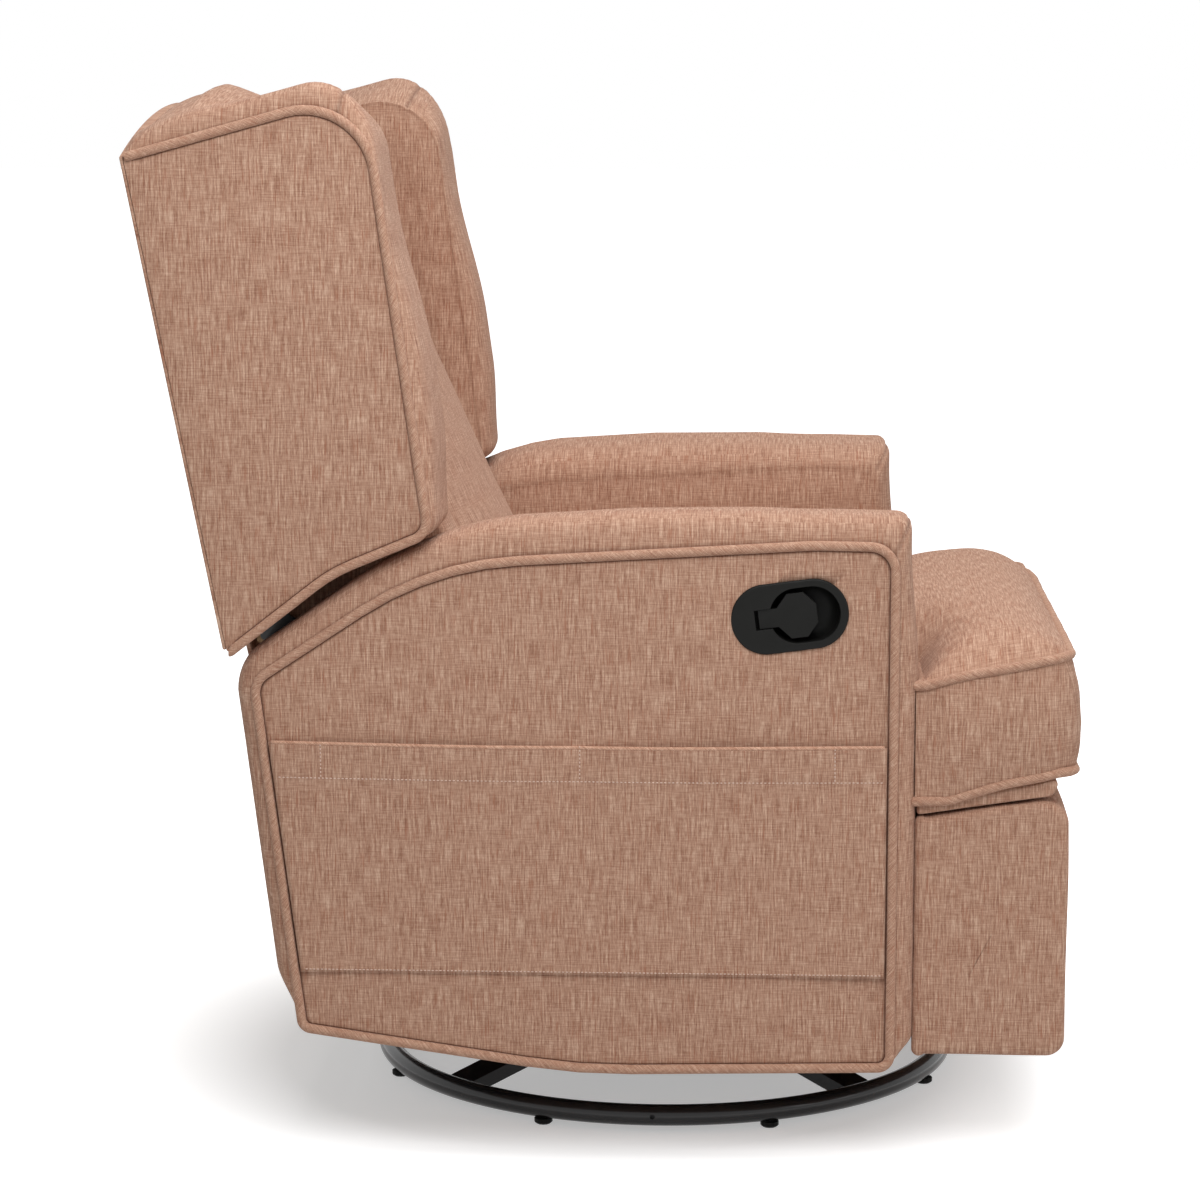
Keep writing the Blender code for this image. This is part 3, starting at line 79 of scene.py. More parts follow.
class Value:
    """A node socket that can be used in arithmetic."""

    def __init__(self, graph: "Graph", socket: bpy.types.NodeSocket) -> None:
        """Wrap one output socket.

        Args:
            graph: The graph that the socket belongs to.
            socket: The output socket.
        """
        self.graph = graph
        self.socket = socket

    def _join(self, operation: str, first: object, second: object) -> "Value":
        """Add a Math node of one operation on two operands."""
        return self.graph.node("ShaderNodeMath", {"operation": operation}, {0: first, 1: second})

    def __add__(self, other: object) -> "Value":
        """Sum."""
        return self._join("ADD", self, other)

    def __radd__(self, other: object) -> "Value":
        """Sum with a number on the left."""
        return self._join("ADD", other, self)

    def __sub__(self, other: object) -> "Value":
        """Difference."""
        return self._join("SUBTRACT", self, other)

    def __rsub__(self, other: object) -> "Value":
        """Difference from a number."""
        return self._join("SUBTRACT", other, self)

    def __mul__(self, other: object) -> "Value":
        """Product."""
        return self._join("MULTIPLY", self, other)

    def __rmul__(self, other: object) -> "Value":
        """Product with a number on the left."""
        return self._join("MULTIPLY", other, self)

    def sine(self) -> "Value":
        """Sine of the value."""
        return self._join("SINE", self, 0.0)

    def clamped(self) -> "Value":
        """The value held between 0 and 1."""
        return self.graph.node("ShaderNodeClamp", {}, {"Value": self})


class Graph:
    """The node tree of one material, with its Principled shader."""

    def __init__(self, name: str) -> None:
        """Start an empty material.

        Args:
            name: The material's name.
        """
        self.material = bpy.data.materials.new(name)
        self.material.use_nodes = True
        self.tree = self.material.node_tree
        self.tree.nodes.clear()
        self.shader = self.tree.nodes.new("ShaderNodeBsdfPrincipled")
        output = self.tree.nodes.new("ShaderNodeOutputMaterial")
        self.tree.links.new(self.shader.outputs[0], output.inputs["Surface"])

    def node(self, kind: str, settings: dict, inputs: dict, output: int | str = 0) -> Value:
        """Add a node.

        Args:
            kind: The node's type.
            settings: Its settings, set first. "stops" are a ramp's positions and colours.
            inputs: Values or links of its sockets, by name or number.
            output: Which output to return.

        Returns:
            The chosen output.
        """
        made = self.tree.nodes.new(kind)
        for key, value in settings.items():
            if key == "stops":
                self._ramp(made, value)
            else:
                setattr(made, key, value)
        for key, value in inputs.items():
            self.plug(value, made.inputs[key])
        return Value(self, made.outputs[output])

    def plug(self, value: object, socket: bpy.types.NodeSocket) -> None:
        """Link a value to a socket, or set the socket to a number, place or colour.

        Args:
            value: A number, place or colour, or a link.
            socket: The socket.
        """
        if isinstance(value, Value):
            self.tree.links.new(value.socket, socket)
        elif socket.type == "RGBA":
            socket.default_value = (*value, 1.0)
        else:
            socket.default_value = value

    @staticmethod
    def _ramp(made: bpy.types.Node, stops: Sequence[tuple[float, tuple]]) -> None:
        """Set the stops of a colour ramp.

        Args:
            made: The ramp's node.
            stops: Its positions and colours.
        """
        ramp = made.color_ramp
        while len(ramp.elements) < len(stops):
            ramp.elements.new(1.0)
        for element, (position, color) in zip(ramp.elements, stops):
            element.position = position
            element.color = (*color, 1.0)

    def noise(self, where: Value, scale: Sequence[float], detail: float = 2.0) -> Value:
        """Noise stretched by a scale along each axis.

        Args:
            where: The coordinates.
            scale: Repeats per metre along each axis.
            detail: Octaves of the noise.

        Returns:
            The noise value, about 0.5 on average.
        """
        spread = self.node("ShaderNodeVectorMath", {"operation": "MULTIPLY"}, {0: where, 1: scale})
        return self.node("ShaderNodeTexNoise", {}, {"Vector": spread, "Scale": 1.0, "Detail": detail})

    def mix(self, factor: object, first: object, second: object) -> Value:
        """Blend two colours.

        Args:
            factor: 0 for the first, 1 for the second.
            first: A colour or a link.
            second: A colour or a link.

        Returns:
            The blended colour.
        """
        return self.node("ShaderNodeMix", {"data_type": "RGBA"}, {0: factor, 6: first, 7: second}, 2)

    def bump(self, height: Value, strength: float, distance: float) -> None:
        """Feed a height to the shader's normal.

        Args:
            height: The height.
            strength: How strongly it shows, from 0 to 1.
            distance: How deep a full height is, in metres.
        """
        self.feed("Normal", self.node(
            "ShaderNodeBump", {}, {"Height": height, "Strength": strength, "Distance": distance}, "Normal",
        ))

    def feed(self, socket: str, value: object) -> None:
        """Set or link a socket of the shader."""
        self.plug(value, self.shader.inputs[socket])


def shown_rays(tree: bpy.types.NodeTree) -> bpy.types.NodeSocket:
    """The rays that see the white background: the camera's, and those in metal and glass.

    Args:
        tree: The node tree that needs them.

    Returns:
        A socket that is 1 for such a ray, otherwise 0.
    """
    path = tree.nodes.new("ShaderNodeLightPath")
    total = path.outputs["Is Camera Ray"]
    for name in ("Is Glossy Ray", "Is Transmission Ray"):
        add = tree.nodes.new("ShaderNodeMath")
        add.operation = "ADD"
        add.use_clamp = True
        tree.links.new(total, add.inputs[0])
        tree.links.new(path.outputs[name], add.inputs[1])
        total = add.outputs[0]
    return total


class Finish:
    """A finish that is turned into a material once and then shared."""

    name: str
    slot: str

    def material(self) -> bpy.types.Material:
        """The finish's material, made on first use."""
        return bpy.data.materials.get(self.name) or self.make()

    def make(self) -> bpy.types.Material:
        """Build the material.

        Returns:
            The material.
        """
        graph = Graph(self.name)
        self.surface(graph, self.place(graph))
        return graph.material

    def place(self, graph: Graph) -> Value:
        """The coordinates that the pattern follows, in metres."""
        return graph.node("ShaderNodeTexCoord", {}, {}, "Object")

    def surface(self, graph: Graph, place: Value) -> None:
        """Feed the shader.

        Args:
            graph: The material's graph.
            place: The coordinates that the pattern follows.
        """
        raise NotImplementedError

    @staticmethod
    def times(color: Triple, factor: float) -> Triple:
        """A colour made darker or lighter."""
        return tuple(min(1.0, c * factor) for c in color)

    def dress(self, piece: Piece) -> None:
        """Put the material on a piece as its only one."""
        piece.data.materials.clear()
        piece.data.materials.append(self.material())


@dataclass(frozen=True)
class Chenille(Finish):
    """Heathered woven upholstery, mixed from three yarn colours.

    The shares are those of the warp, the slubs and the weft in the mixture.
    Each yarn's pair is its repeats in a metre across and along the warp, and the pair of
    the threads is in radians a metre.
    """

    name: str = "cover_chenille"
    slot: str = "heathered_fabric"
    dark: Triple = (0.262, 0.120, 0.078)
    middle: Triple = (0.440, 0.254, 0.176)
    pale: Triple = (0.680, 0.468, 0.352)
    russet: Triple = (0.36, 0.145, 0.085)
    # Painted shade: the colour that the cloth darkens to in a seam's shadow.
    seam: Triple = (0.105, 0.045, 0.030)
    warp: Pair = (660.0, 42.0)
    slub: Pair = (1300.0, 210.0)
    weft: Pair = (56.0, 800.0)
    fleck: Pair = (760.0, 36.0)
    drift: Pair = (14.0, 11.0)
    threads: Pair = (5200.0, 4300.0)
    middle_tone: float = 0.46
    shares: Triple = (0.48, 0.26, 0.26)
    tone_range: Pair = (0.335, 0.665)
    fleck_range: Pair = (0.58, 0.72)
    fleck_most: float = 0.6
    turn: float = 0.0
    relief: float = 1.0
    # shade scales every yarn colour; above 1 it paints light onto the cloth.
    shade: float = 1.0
    fine: float = 1.0

    def place(self, graph: Graph) -> Value:
        """The piece's weave map, turned for cloth that is cut on the bias."""
        flat = graph.node("ShaderNodeUVMap", {"uv_map": WEAVE_MAP}, {})
        return graph.node("ShaderNodeMapping", {}, {"Vector": flat, "Rotation": (0.0, 0.0, self.turn)})

    def yarn(self, graph: Graph, place: Value, repeats: Pair, detail: float = 2.0) -> Value:
        """The streaks of one yarn."""
        return graph.noise(place, (repeats[0] * self.fine, repeats[1] * self.fine, 1.0), detail)

    def surface(self, graph: Graph, place: Value) -> None:
        """Build the weave from stretched noise along and across the cloth.

        Args:
            graph: The material's graph.
            place: The coordinates that the pattern follows.
        """
        warp = self.yarn(graph, place, self.warp)
        slub = self.yarn(graph, place, self.slub)
        weft = self.yarn(graph, place, self.weft)
        fleck = self.yarn(graph, place, self.fleck, 1.0)
        drift = graph.noise(place, (*self.drift, 1.0), 3.0)
        tone = warp * self.shares[0] + slub * self.shares[1] + weft * self.shares[2]
        spread = graph.node("ShaderNodeMapRange", {}, {
            "Value": tone, "From Min": self.tone_range[0], "From Max": self.tone_range[1],
        })
        woven = graph.node("ShaderNodeValToRGB", {"stops": (
            (0.0, self.shaded(self.dark)), (self.middle_tone, self.shaded(self.middle)),
            (1.0, self.shaded(self.pale)),
        )}, {"Fac": spread + (drift - 0.5) * 0.07})
        flecked = graph.node("ShaderNodeMapRange", {}, {
            "Value": fleck, "From Min": self.fleck_range[0], "From Max": self.fleck_range[1],
            "To Max": self.fleck_most,
        })
        color = graph.mix(flecked, woven, self.shaded(self.russet))
        # Painted shade: the colour falls towards the seam colour where the seam layer marks a seam's shadow.
        seam = graph.node("ShaderNodeAttribute", {"attribute_name": SEAM_SHADE_LAYER}, {}, "Fac")
        across, along = (graph.node("ShaderNodeSeparateXYZ", {}, {0: place}, axis) for axis in "XY")
        threads = (across * self.threads[0]).sine() * (along * self.threads[1]).sine()
        graph.feed("Base Color", graph.mix(seam, color, self.shaded(self.seam)))
        graph.feed("Roughness", (spread * -0.10 + 0.93).clamped())
        graph.feed("Sheen Weight", 0.08)
        graph.feed("Sheen Roughness", 0.5)
        graph.feed("Specular IOR Level", 0.06)
        graph.bump(threads * 0.35 + warp * 0.9 + slub * 0.5, 0.55 * self.relief, 0.0006)

    def shaded(self, color: Triple) -> Triple:
        """A yarn colour times the finish's shade."""
        return self.times(color, self.shade)


@dataclass(frozen=True)
class Enamel(Finish):
    """Glossy black powder coat with a slight orange peel."""

    name: str = "gloss_black_enamel"
    slot: str = "black_steel"
    color: Triple = (0.012, 0.012, 0.013)
    dusty: float = 1.8
    roughness: float = 0.16

    def surface(self, graph: Graph, place: Value) -> None:
        """Feed the shader with dust, gloss and peel.

        Args:
            graph: The material's graph.
            place: The coordinates that the pattern follows.
        """
        peel = graph.noise(place, (420.0,) * 3)
        dust = graph.noise(place, (38.0,) * 3, 4.0)
        graph.feed("Base Color", graph.mix(dust, self.color, self.times(self.color, self.dusty)))
        graph.feed("Roughness", (dust * 0.12 + self.roughness).clamped())
        graph.feed("Coat Weight", 0.2)
        graph.feed("Coat Roughness", 0.08)
        graph.feed("Specular IOR Level", 0.3)
        graph.bump(peel, 0.10, 0.0003)


@dataclass(frozen=True)
class Plating(Finish):
    """Bright zinc plating, with a rolled grain and faint bloom."""

    name: str = "bright_zinc"
    slot: str = "zinc_steel"
    color: Triple = (0.50, 0.50, 0.51)
    bloomed: Triple = (0.36, 0.36, 0.34)

    def surface(self, graph: Graph, place: Value) -> None:
        """Feed the shader with grain and bloom.

        Args:
            graph: The material's graph.
            place: The coordinates that the pattern follows.
        """
        grain = graph.noise(place, (900.0, 60.0, 900.0))
        bloom = graph.noise(place, (55.0,) * 3, 4.0)
        graph.feed("Base Color", graph.mix(bloom, self.color, self.bloomed))
        graph.feed("Metallic", 1.0)
        graph.feed("Roughness", (grain * 0.20 + bloom * 0.16 + 0.16).clamped())
        graph.bump(grain, 0.12, 0.0002)


@dataclass(frozen=True)
class Timber(Finish):
    """Sawn softwood with growth rings and saw marks."""

    name: str = "sawn_pine"
    slot: str = "pine_board"
    early: Triple = (0.62, 0.43, 0.24)
    late: Triple = (0.40, 0.23, 0.10)
    ring_count: float = 40.0

    def surface(self, graph: Graph, place: Value) -> None:
        """Feed the shader with rings and saw marks.

        Args:
            graph: The material's graph.
            place: The coordinates that the pattern follows.
        """
        grain = graph.noise(place, (6.0, 60.0, 60.0), 4.0)
        rings = (grain * self.ring_count).sine() * 0.5 + 0.5
        saw = graph.noise(place, (300.0, 20.0, 20.0))
        graph.feed("Base Color", graph.mix(rings * 0.6, self.early, self.late))
        graph.feed("Roughness", (saw * 0.2 + 0.62).clamped())
        graph.bump(saw + rings * 0.3, 0.35, 0.0005)


@dataclass(frozen=True)
class Moulding(Finish):
    """Black moulded plastic with a fine spark-eroded texture."""

    name: str = "moulded_black"
    slot: str = "black_plastic"
    color: Triple = (0.0075, 0.0075, 0.0070)
    worn: float = 1.5
    roughness: float = 0.39
    texture: float = 0.25

    def surface(self, graph: Graph, place: Value) -> None:
        """Feed the shader with texture and wear.

        Args:
            graph: The material's graph.
            place: The coordinates that the pattern follows.
        """
        spark = graph.noise(place, (1500.0,) * 3)
        wear = graph.noise(place, (45.0,) * 3, 3.0)
        graph.feed("Base Color", graph.mix(wear, self.color, self.times(self.color, self.worn)))
        graph.feed("Roughness", (wear * 0.12 + self.roughness).clamped())
        graph.feed("Specular IOR Level", 0.12)
        graph.bump(spark, self.texture, 0.0002)


@dataclass(frozen=True)
class Thread(Finish):
    """Sewing thread, twisted, in the colour of the cover."""

    name: str = "sewing_thread"
    slot: str = "heathered_fabric"
    color: Triple = (0.78, 0.58, 0.48)
    hollow: float = 0.7

    def surface(self, graph: Graph, place: Value) -> None:
        """Feed the shader with the twist.

        Args:
            graph: The material's graph.
            place: The coordinates that the pattern follows.
        """
        twist = graph.noise(place, (2500.0,) * 3, 1.0)
        graph.feed("Base Color", graph.mix(twist, self.color, self.times(self.color, self.hollow)))
        graph.feed("Roughness", (twist * 0.2 + 0.6).clamped())
        graph.bump(twist, 0.3, 0.0002)


CLOTH = Chenille()
BIAS = Chenille(name="bias_chenille", turn=math.radians(45.0), relief=0.6, fine=1.7)
# The cover cloth made lighter: a painted highlight for the pocket's rolled top edge.
PAINTED_HIGHLIGHT_CLOTH = Chenille(name="painted_highlight_chenille", turn=math.radians(45.0), relief=0.4, fine=1.7, shade=1.18)
ENAMEL = Enamel()
ZINC = Plating()
PINE = Timber()
PLASTIC = Moulding()
PADDLE_PLASTIC = Moulding(name="paddle_black", roughness=0.31, texture=0.12)
THREAD = Thread()


# Outlines

EDGE_SHARE = 0.49


def rounded(corners: Sequence[Triple], step: float = math.radians(7.5)) -> Outline:
    """A closed outline from (a, b, radius) corners, each turned with an arc.

    Args:
        corners: The corners in order.
        step: The largest turn between two points of an arc.

    Returns:
        The outline's points.
    """
    points: Outline = []
    for i, corner in enumerate(corners):
        before = Vector(corners[i - 1][:2])
        here = Vector(corner[:2])
        after = Vector(corners[(i + 1) % len(corners)][:2])
        to_before = (before - here).normalized()
        to_after = (after - here).normalized()
        between = to_before.angle(to_after)
        bend = math.pi - between
        shorter = min((before - here).length, (after - here).length)
        reach = min(corner[2] / math.tan(between / 2.0), EDGE_SHARE * shorter)
        radius = reach * math.tan(between / 2.0)
        if radius < 1e-5 or bend < math.radians(1.0):
            points.append((here.x, here.y))
            continue
        middle = here + (to_before + to_after).normalized() * (radius / math.sin(between / 2.0))
        first = here + to_before * reach - middle
        last = here + to_after * reach - middle
        steps = max(1, math.ceil(bend / step))
        turn = math.copysign(bend / steps, first.x * last.y - first.y * last.x)
        for k in range(steps + 1):
            spoke = Matrix.Rotation(k * turn, 2) @ first
            points.append((middle.x + spoke.x, middle.y + spoke.y))
    return points


def densified(points: Outline, spacing: float) -> np.ndarray:
    """Split the outline's long edges, keeping every point.

    Args:
        points: A closed outline.
        spacing: The longest edge that is kept whole.

    Returns:
        The points as an array of rows.
    """
    fine = []
    for i, start in enumerate(points):
        end = points[(i + 1) % len(points)]
        count = max(1, math.ceil(math.dist(start, end) / spacing))
        for k in range(count):
            share = k / count
            fine.append((start[0] + (end[0] - start[0]) * share, start[1] + (end[1] - start[1]) * share))
    return np.array(fine)


def winding(points: np.ndarray) -> float:
    """Tell which way a closed outline runs.

    Args:
        points: The outline's points.

    Returns:
        1 where it runs anticlockwise, otherwise -1.
    """
    after = np.roll(points, -1, axis=0)
    area = np.sum(points[:, 0] * after[:, 1] - points[:, 1] * after[:, 0])
    return 1.0 if area > 0.0 else -1.0


def outward(points: np.ndarray) -> np.ndarray:
    """Outward unit normals of a closed outline.

    Args:
        points: The outline's points.

    Returns:
        One normal a point.
    """
    along = np.roll(points, -1, axis=0) - np.roll(points, 1, axis=0)
    along /= np.linalg.norm(along, axis=1)[:, None]
    return np.stack([along[:, 1], -along[:, 0]], axis=1) * winding(points)


def smooth_step(value: float, low: float, high: float) -> float:
    """0 below low, 1 above high, and smooth between them."""
    share = min(1.0, max(0.0, (value - low) / (high - low)))
    return share * share * (3.0 - 2.0 * share)


def ripple(point: Sequence[float], size: float, seed: float = 0.0) -> float:
    """Smooth noise from -1 to 1 that changes over about size metres."""
    return noise.noise(Vector(point) / size + Vector((seed, seed * 1.7, seed * 0.3)))


# Mesh building


def new_mesh(name: str, vertices: np.ndarray, faces: list, corners: list | None = None) -> Piece:
    """Make a mesh object with a weave map.

    Args:
        name: The piece's name.
        vertices: Rows of positions.
        faces: Lists of vertex numbers.
        corners: Weave coordinates of each face's corners, in metres.

    Returns:
        The object, linked to the scene.
    """
    mesh = bpy.data.meshes.new(name)
    mesh.from_pydata([tuple(v) for v in vertices], [], faces)
    if corners is not None:
        layer = mesh.uv_layers.new(name=WEAVE_MAP)
        layer.data.foreach_set("uv", np.array([c for face in corners for c in face], float).ravel())
    mesh.shade_smooth()
    piece = bpy.data.objects.new(name, mesh)
    bpy.context.scene.collection.objects.link(piece)
    return piece


def lofted(name: str, rings: list[np.ndarray]) -> Piece:
    """A closed shell through rings of equal count, its ends closed by small faces.

    Args:
        name: The piece's name.
        rings: Arrays of positions.

    Returns:
        The shell, its weave laid by the direction of its faces.
    """
    count = len(rings[0])
    faces = []
    for low in range(0, (len(rings) - 1) * count, count):
        for i in range(count):
            j = (i + 1) % count
            faces.append((low + i, low + j, low + count + j, low + count + i))
    last = (len(rings) - 1) * count
    faces += [list(range(count))[::-1], list(range(last, last + count))]
    piece = new_mesh(name, np.concatenate(rings), faces)
    face_outwards(piece)
    reweave(piece)
    return piece


def lay_by_direction(place: Vector, normal: Vector) -> Pair:
    """Weave coordinates whose warp runs up the sides and across the top.

    Args:
        place: A corner's place.
        normal: The normal of its face.

    Returns:
        The corner's weave coordinates, in metres.
    """
    size = [abs(n) for n in normal]
    if size[0] >= max(size[1], size[2]):
        return place.y, place.z
    return (place.x, place.z) if size[1] > size[2] else (place.y, place.x)


def cells(columns: int, rows: int) -> list[tuple[int, ...]]:
    """The quads of a grid of points that are counted along its rows.

    Args:
        columns: How many cells lie along a row.
        rows: How many rows of cells there are.

    Returns:
        The numbers of each cell's four corners.
    """
    wide = columns + 1
    starts = [r * wide + c for r in range(rows) for c in range(columns)]
    return [(a, a + 1, a + 1 + wide, a + wide) for a in starts]


def face_outwards(piece: Piece) -> None:
    """Turn a closed mesh's faces outwards.

    Args:
        piece: The piece.
    """
    grid = bmesh.new()
    grid.from_mesh(piece.data)
    bmesh.ops.recalc_face_normals(grid, faces=grid.faces)
    if grid.calc_volume(signed=True) < 0.0:
        bmesh.ops.reverse_faces(grid, faces=grid.faces)
    grid.to_mesh(piece.data)
    grid.free()


def tube(name: str, path: Sequence[Vector], radius: float, closed: bool, sides: int = 12) -> Piece:
    """A round cord along a path, with the weave running along it.

    Args:
        name: The piece's name.
        path: Points of the centre line.
        radius: The cord's radius.
        closed: Whether the path returns to its start.
        sides: Faces round the cord.

    Returns:
        The cord as a mesh.
    """
    points = [Vector(p) for p in path]
    count = len(points)
    tangents = []
    for i in range(count):
        ahead = points[(i + 1) % count] if closed else points[min(i + 1, count - 1)]
        behind = points[i - 1] if closed else points[max(i - 1, 0)]
        tangents.append((ahead - behind).normalized())
    side = tangents[0].orthogonal().normalized()
    sides_dir = []
    for i in range(count):
        side = (side - tangents[i] * side.dot(tangents[i])).normalized()
        sides_dir.append(side)
    twist = 0.0
    if closed:
        back = (sides_dir[-1] - tangents[0] * sides_dir[-1].dot(tangents[0])).normalized()
        twist = math.atan2(back.cross(sides_dir[0]).dot(tangents[0]), back.dot(sides_dir[0]))
    vertices = []
    for i in range(count):
        other = tangents[i].cross(sides_dir[i])
        for k in range(sides):
            angle = 2.0 * math.pi * k / sides + twist * i / count
            vertices.append(points[i] + (sides_dir[i] * math.cos(angle) + other * math.sin(angle)) * radius)
    lengths = [0.0]
    for i in range(count):
        lengths.append(lengths[-1] + (points[(i + 1) % count] - points[i]).length)
    girth = 2.0 * math.pi * radius
    faces = []
    corners = []
    for i in range(count if closed else count - 1):
        n = (i + 1) % count
        for k in range(sides):
            m = (k + 1) % sides
            faces.append((i * sides + k, i * sides + m, n * sides + m, n * sides + k))
            u0, u1 = girth * k / sides, girth * (k + 1) / sides
            corners.append([(u0, lengths[i]), (u1, lengths[i]), (u1, lengths[i + 1]), (u0, lengths[i + 1])])
    if not closed:
        for start in (0, (count - 1) * sides):
            faces.append(list(range(start, start + sides)))
            corners.append([(0.0, 0.0)] * sides)
    piece = new_mesh(name, np.array(vertices), faces, corners)
    face_outwards(piece)
    return piece


def finish_piece(
    piece: Piece, body: str, finish: Finish,
    replaces: Iterable[str] = (),
) -> None:
    """Dress a piece and hand it to its body.

    Args:
        piece: The piece.
        body: The body that it rides on.
        finish: Its finish.
        replaces: The frame's nodes that it stands for.
    """
    finish.dress(piece)
    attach(piece, body)
    names = list(replaces)
    if names:
        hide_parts(*names)
    LOG.info("%s rides on %s", piece.name, body)


# Sizes shared by the sub-assemblies

HALF_WIDTH = 0.375
INNER_X = 0.250
BAND_WIDTH = HALF_WIDTH - INNER_X
CORD_RADIUS = 0.0046
BACK_LOW = (0.353, 0.483)
BACK_SLOPE = 0.19306
ARCH_RISE = 0.045
HANDLE_CENTRE = (-0.176, 0.523)
HANDLE_TILT = math.radians(7.5)
CUT_PAST = 0.012


def back_plane(height: float, depth: float = 0.0) -> float:
    """y of the leaning rear face of the back, or of a plane that far inside it."""
    return BACK_LOW[0] + (height - BACK_LOW[1]) * BACK_SLOPE - depth * math.hypot(1.0, BACK_SLOPE)


def mark_seams(piece: Piece, amount: Sequence[float]) -> None:
    """Store how deep each vertex lies in a seam's painted shadow, from 0 to 1."""
    layer = piece.data.attributes.new(SEAM_SHADE_LAYER, "FLOAT", "POINT")
    layer.data.foreach_set("value", np.asarray(amount, float))


def reweave(piece: Piece) -> None:
    """Lay a piece's weave by the direction of its faces.

    Args:
        piece: The piece.
    """
    mesh = piece.data
    layer = mesh.uv_layers.new(name=WEAVE_MAP)
    for face in mesh.polygons:
        for loop in face.loop_indices:
            place = mesh.vertices[mesh.loops[loop].vertex_index].co
            layer.data[loop].uv = lay_by_direction(place, face.normal)


def apply_modifier(piece: Piece, name: str) -> None:
    """Apply one modifier of a piece."""
    select_only(piece)
    bpy.ops.object.modifier_apply(modifier=name)


def combine(piece: Piece, tool: Piece, operation: str) -> None:
    """Join or cut a piece with a tool, which is then removed.

    Args:
        piece: The piece.
        tool: What is joined to it or cut from it.
        operation: UNION or DIFFERENCE.
    """
    joint = piece.modifiers.new("joint", "BOOLEAN")
    joint.operation = operation
    joint.solver = "EXACT"
    joint.object = tool
    apply_modifier(piece, joint.name)
    bpy.data.objects.remove(tool)


def bevel_edges(piece: Piece, width: float, segments: int, sharp: float) -> None:
    """Round the edges of a piece that bend by more than an angle in degrees.

    Args:
        piece: The piece.
        width: The bevel's width.
        segments: Faces across the bevel.
        sharp: The least angle that is rounded.
    """
    edge = piece.modifiers.new("edge", "BEVEL")
    edge.width = width
    edge.segments = segments
    edge.limit_method = "ANGLE"
    edge.angle_limit = math.radians(sharp)
    apply_modifier(piece, edge.name)


def shade_by_angle(piece: Piece, sharp: float) -> None:
    """Shade a piece smooth, apart from edges that bend by more than an angle in degrees."""
    select_only(piece)
    bpy.ops.object.shade_smooth_by_angle(angle=math.radians(sharp))


def select_only(piece: Piece) -> None:
    """Select one object and make it active.

    Args:
        piece: The object.
    """
    bpy.ops.object.select_all(action="DESELECT")
    piece.select_set(True)
    bpy.context.view_layer.objects.active = piece


def distance_to(outline: np.ndarray, point: Sequence[float]) -> float:
    """Distance from a point to a closed outline.

    Args:
        outline: The outline's points.
        point: The point, in the outline's plane.

    Returns:
        The distance in metres.
    """
    start = outline
    along = np.roll(outline, -1, axis=0) - start
    rel = np.asarray(point) - start
    share = np.clip(np.sum(rel * along, axis=1) / np.maximum(np.sum(along * along, axis=1), 1e-12), 0.0, 1.0)
    return float(np.min(np.linalg.norm(rel - along * share[:, None], axis=1)))


def drawn_in(points: np.ndarray, centre: np.ndarray, depths: np.ndarray) -> np.ndarray:
    """Move an outline's points towards a centre until each lies its depth inside both its edges.

    Args:
        points: A closed outline that the centre sees all of.
        centre: The centre.
        depths: The depth of each point.

    Returns:
        The inner outline, whose corners stay sharp.
    """
    edge = np.roll(points, -1, axis=0) - points
    edge /= np.maximum(np.linalg.norm(edge, axis=1), 1e-9)[:, None]
    inward = np.stack([-edge[:, 1], edge[:, 0]], axis=1) * winding(points)
    ray = centre - points
    reach = np.linalg.norm(ray, axis=1)
    ray /= reach[:, None]
    facing = np.minimum(np.sum(inward * ray, axis=1), np.sum(np.roll(inward, 1, axis=0) * ray, axis=1))
    shift = np.minimum(depths / np.maximum(facing, 0.2), reach * 0.8)
    return points + ray * shift[:, None]


@dataclass(frozen=True)
class Peak:
    """The sharper corner that a band's crest makes over a rounded corner of its outline."""

    centre: np.ndarray
    radius: float
    push: np.ndarray
    shrink: float
    reach: float
    seam: np.ndarray

    @classmethod
    def over(
        cls, corners: Sequence[Triple], index: int, outs: Pair,
        crest_radius: float, reach: float, seam_share: float = 0.35,
    ) -> "Peak":
        """Place a peak over one of an outline's corners.

        Args:
            corners: The outline's corners.
            index: The corner.
            outs: How far the crest lies outside the edge before and the edge after the corner.
            crest_radius: The crest's own corner radius.
            reach: How far along the edges the cloth is drawn towards the corner.
            seam_share: Where the gusset's seam lies on the arc, from the later edge.

        Returns:
            The peak.
        """
        here = np.array(corners[index][:2])
        before = here - np.array(corners[index - 1][:2])
        after = np.array(corners[(index + 1) % len(corners)][:2]) - here
        before /= np.linalg.norm(before)
        after /= np.linalg.norm(after)
        sign = -1.0 if before[0] * after[1] - before[1] * after[0] < 0.0 else 1.0
        first = np.array([before[1], -before[0]]) * sign
        second = np.array([after[1], -after[0]]) * sign
        faces = np.stack([first, second])
        radius = corners[index][2]
        centre = here + np.linalg.solve(faces, [-radius, -radius])
        shrink = radius - crest_radius
        push = np.linalg.solve(faces, [outs[0] + shrink, outs[1] + shrink])
        spoke = second * (1.0 - seam_share) + first * seam_share
        return cls(centre, radius, push, shrink, reach, centre + spoke / np.linalg.norm(spoke) * radius)

    def draw(self, point: np.ndarray, normal: np.ndarray, plain: np.ndarray) -> np.ndarray:
        """Blend a point's plain swell into the corner's.

        Args:
            point: A point of the outline.
            normal: Its outward normal.
            plain: How far the band's crest would lie from it.

        Returns:
            How far the crest lies from the point.
        """
        away = float(np.linalg.norm(point - self.centre)) - self.radius
        share = 1.0 - smooth_step(away, 0.0, self.reach)
        return plain + (self.push - self.shrink * normal - plain) * share


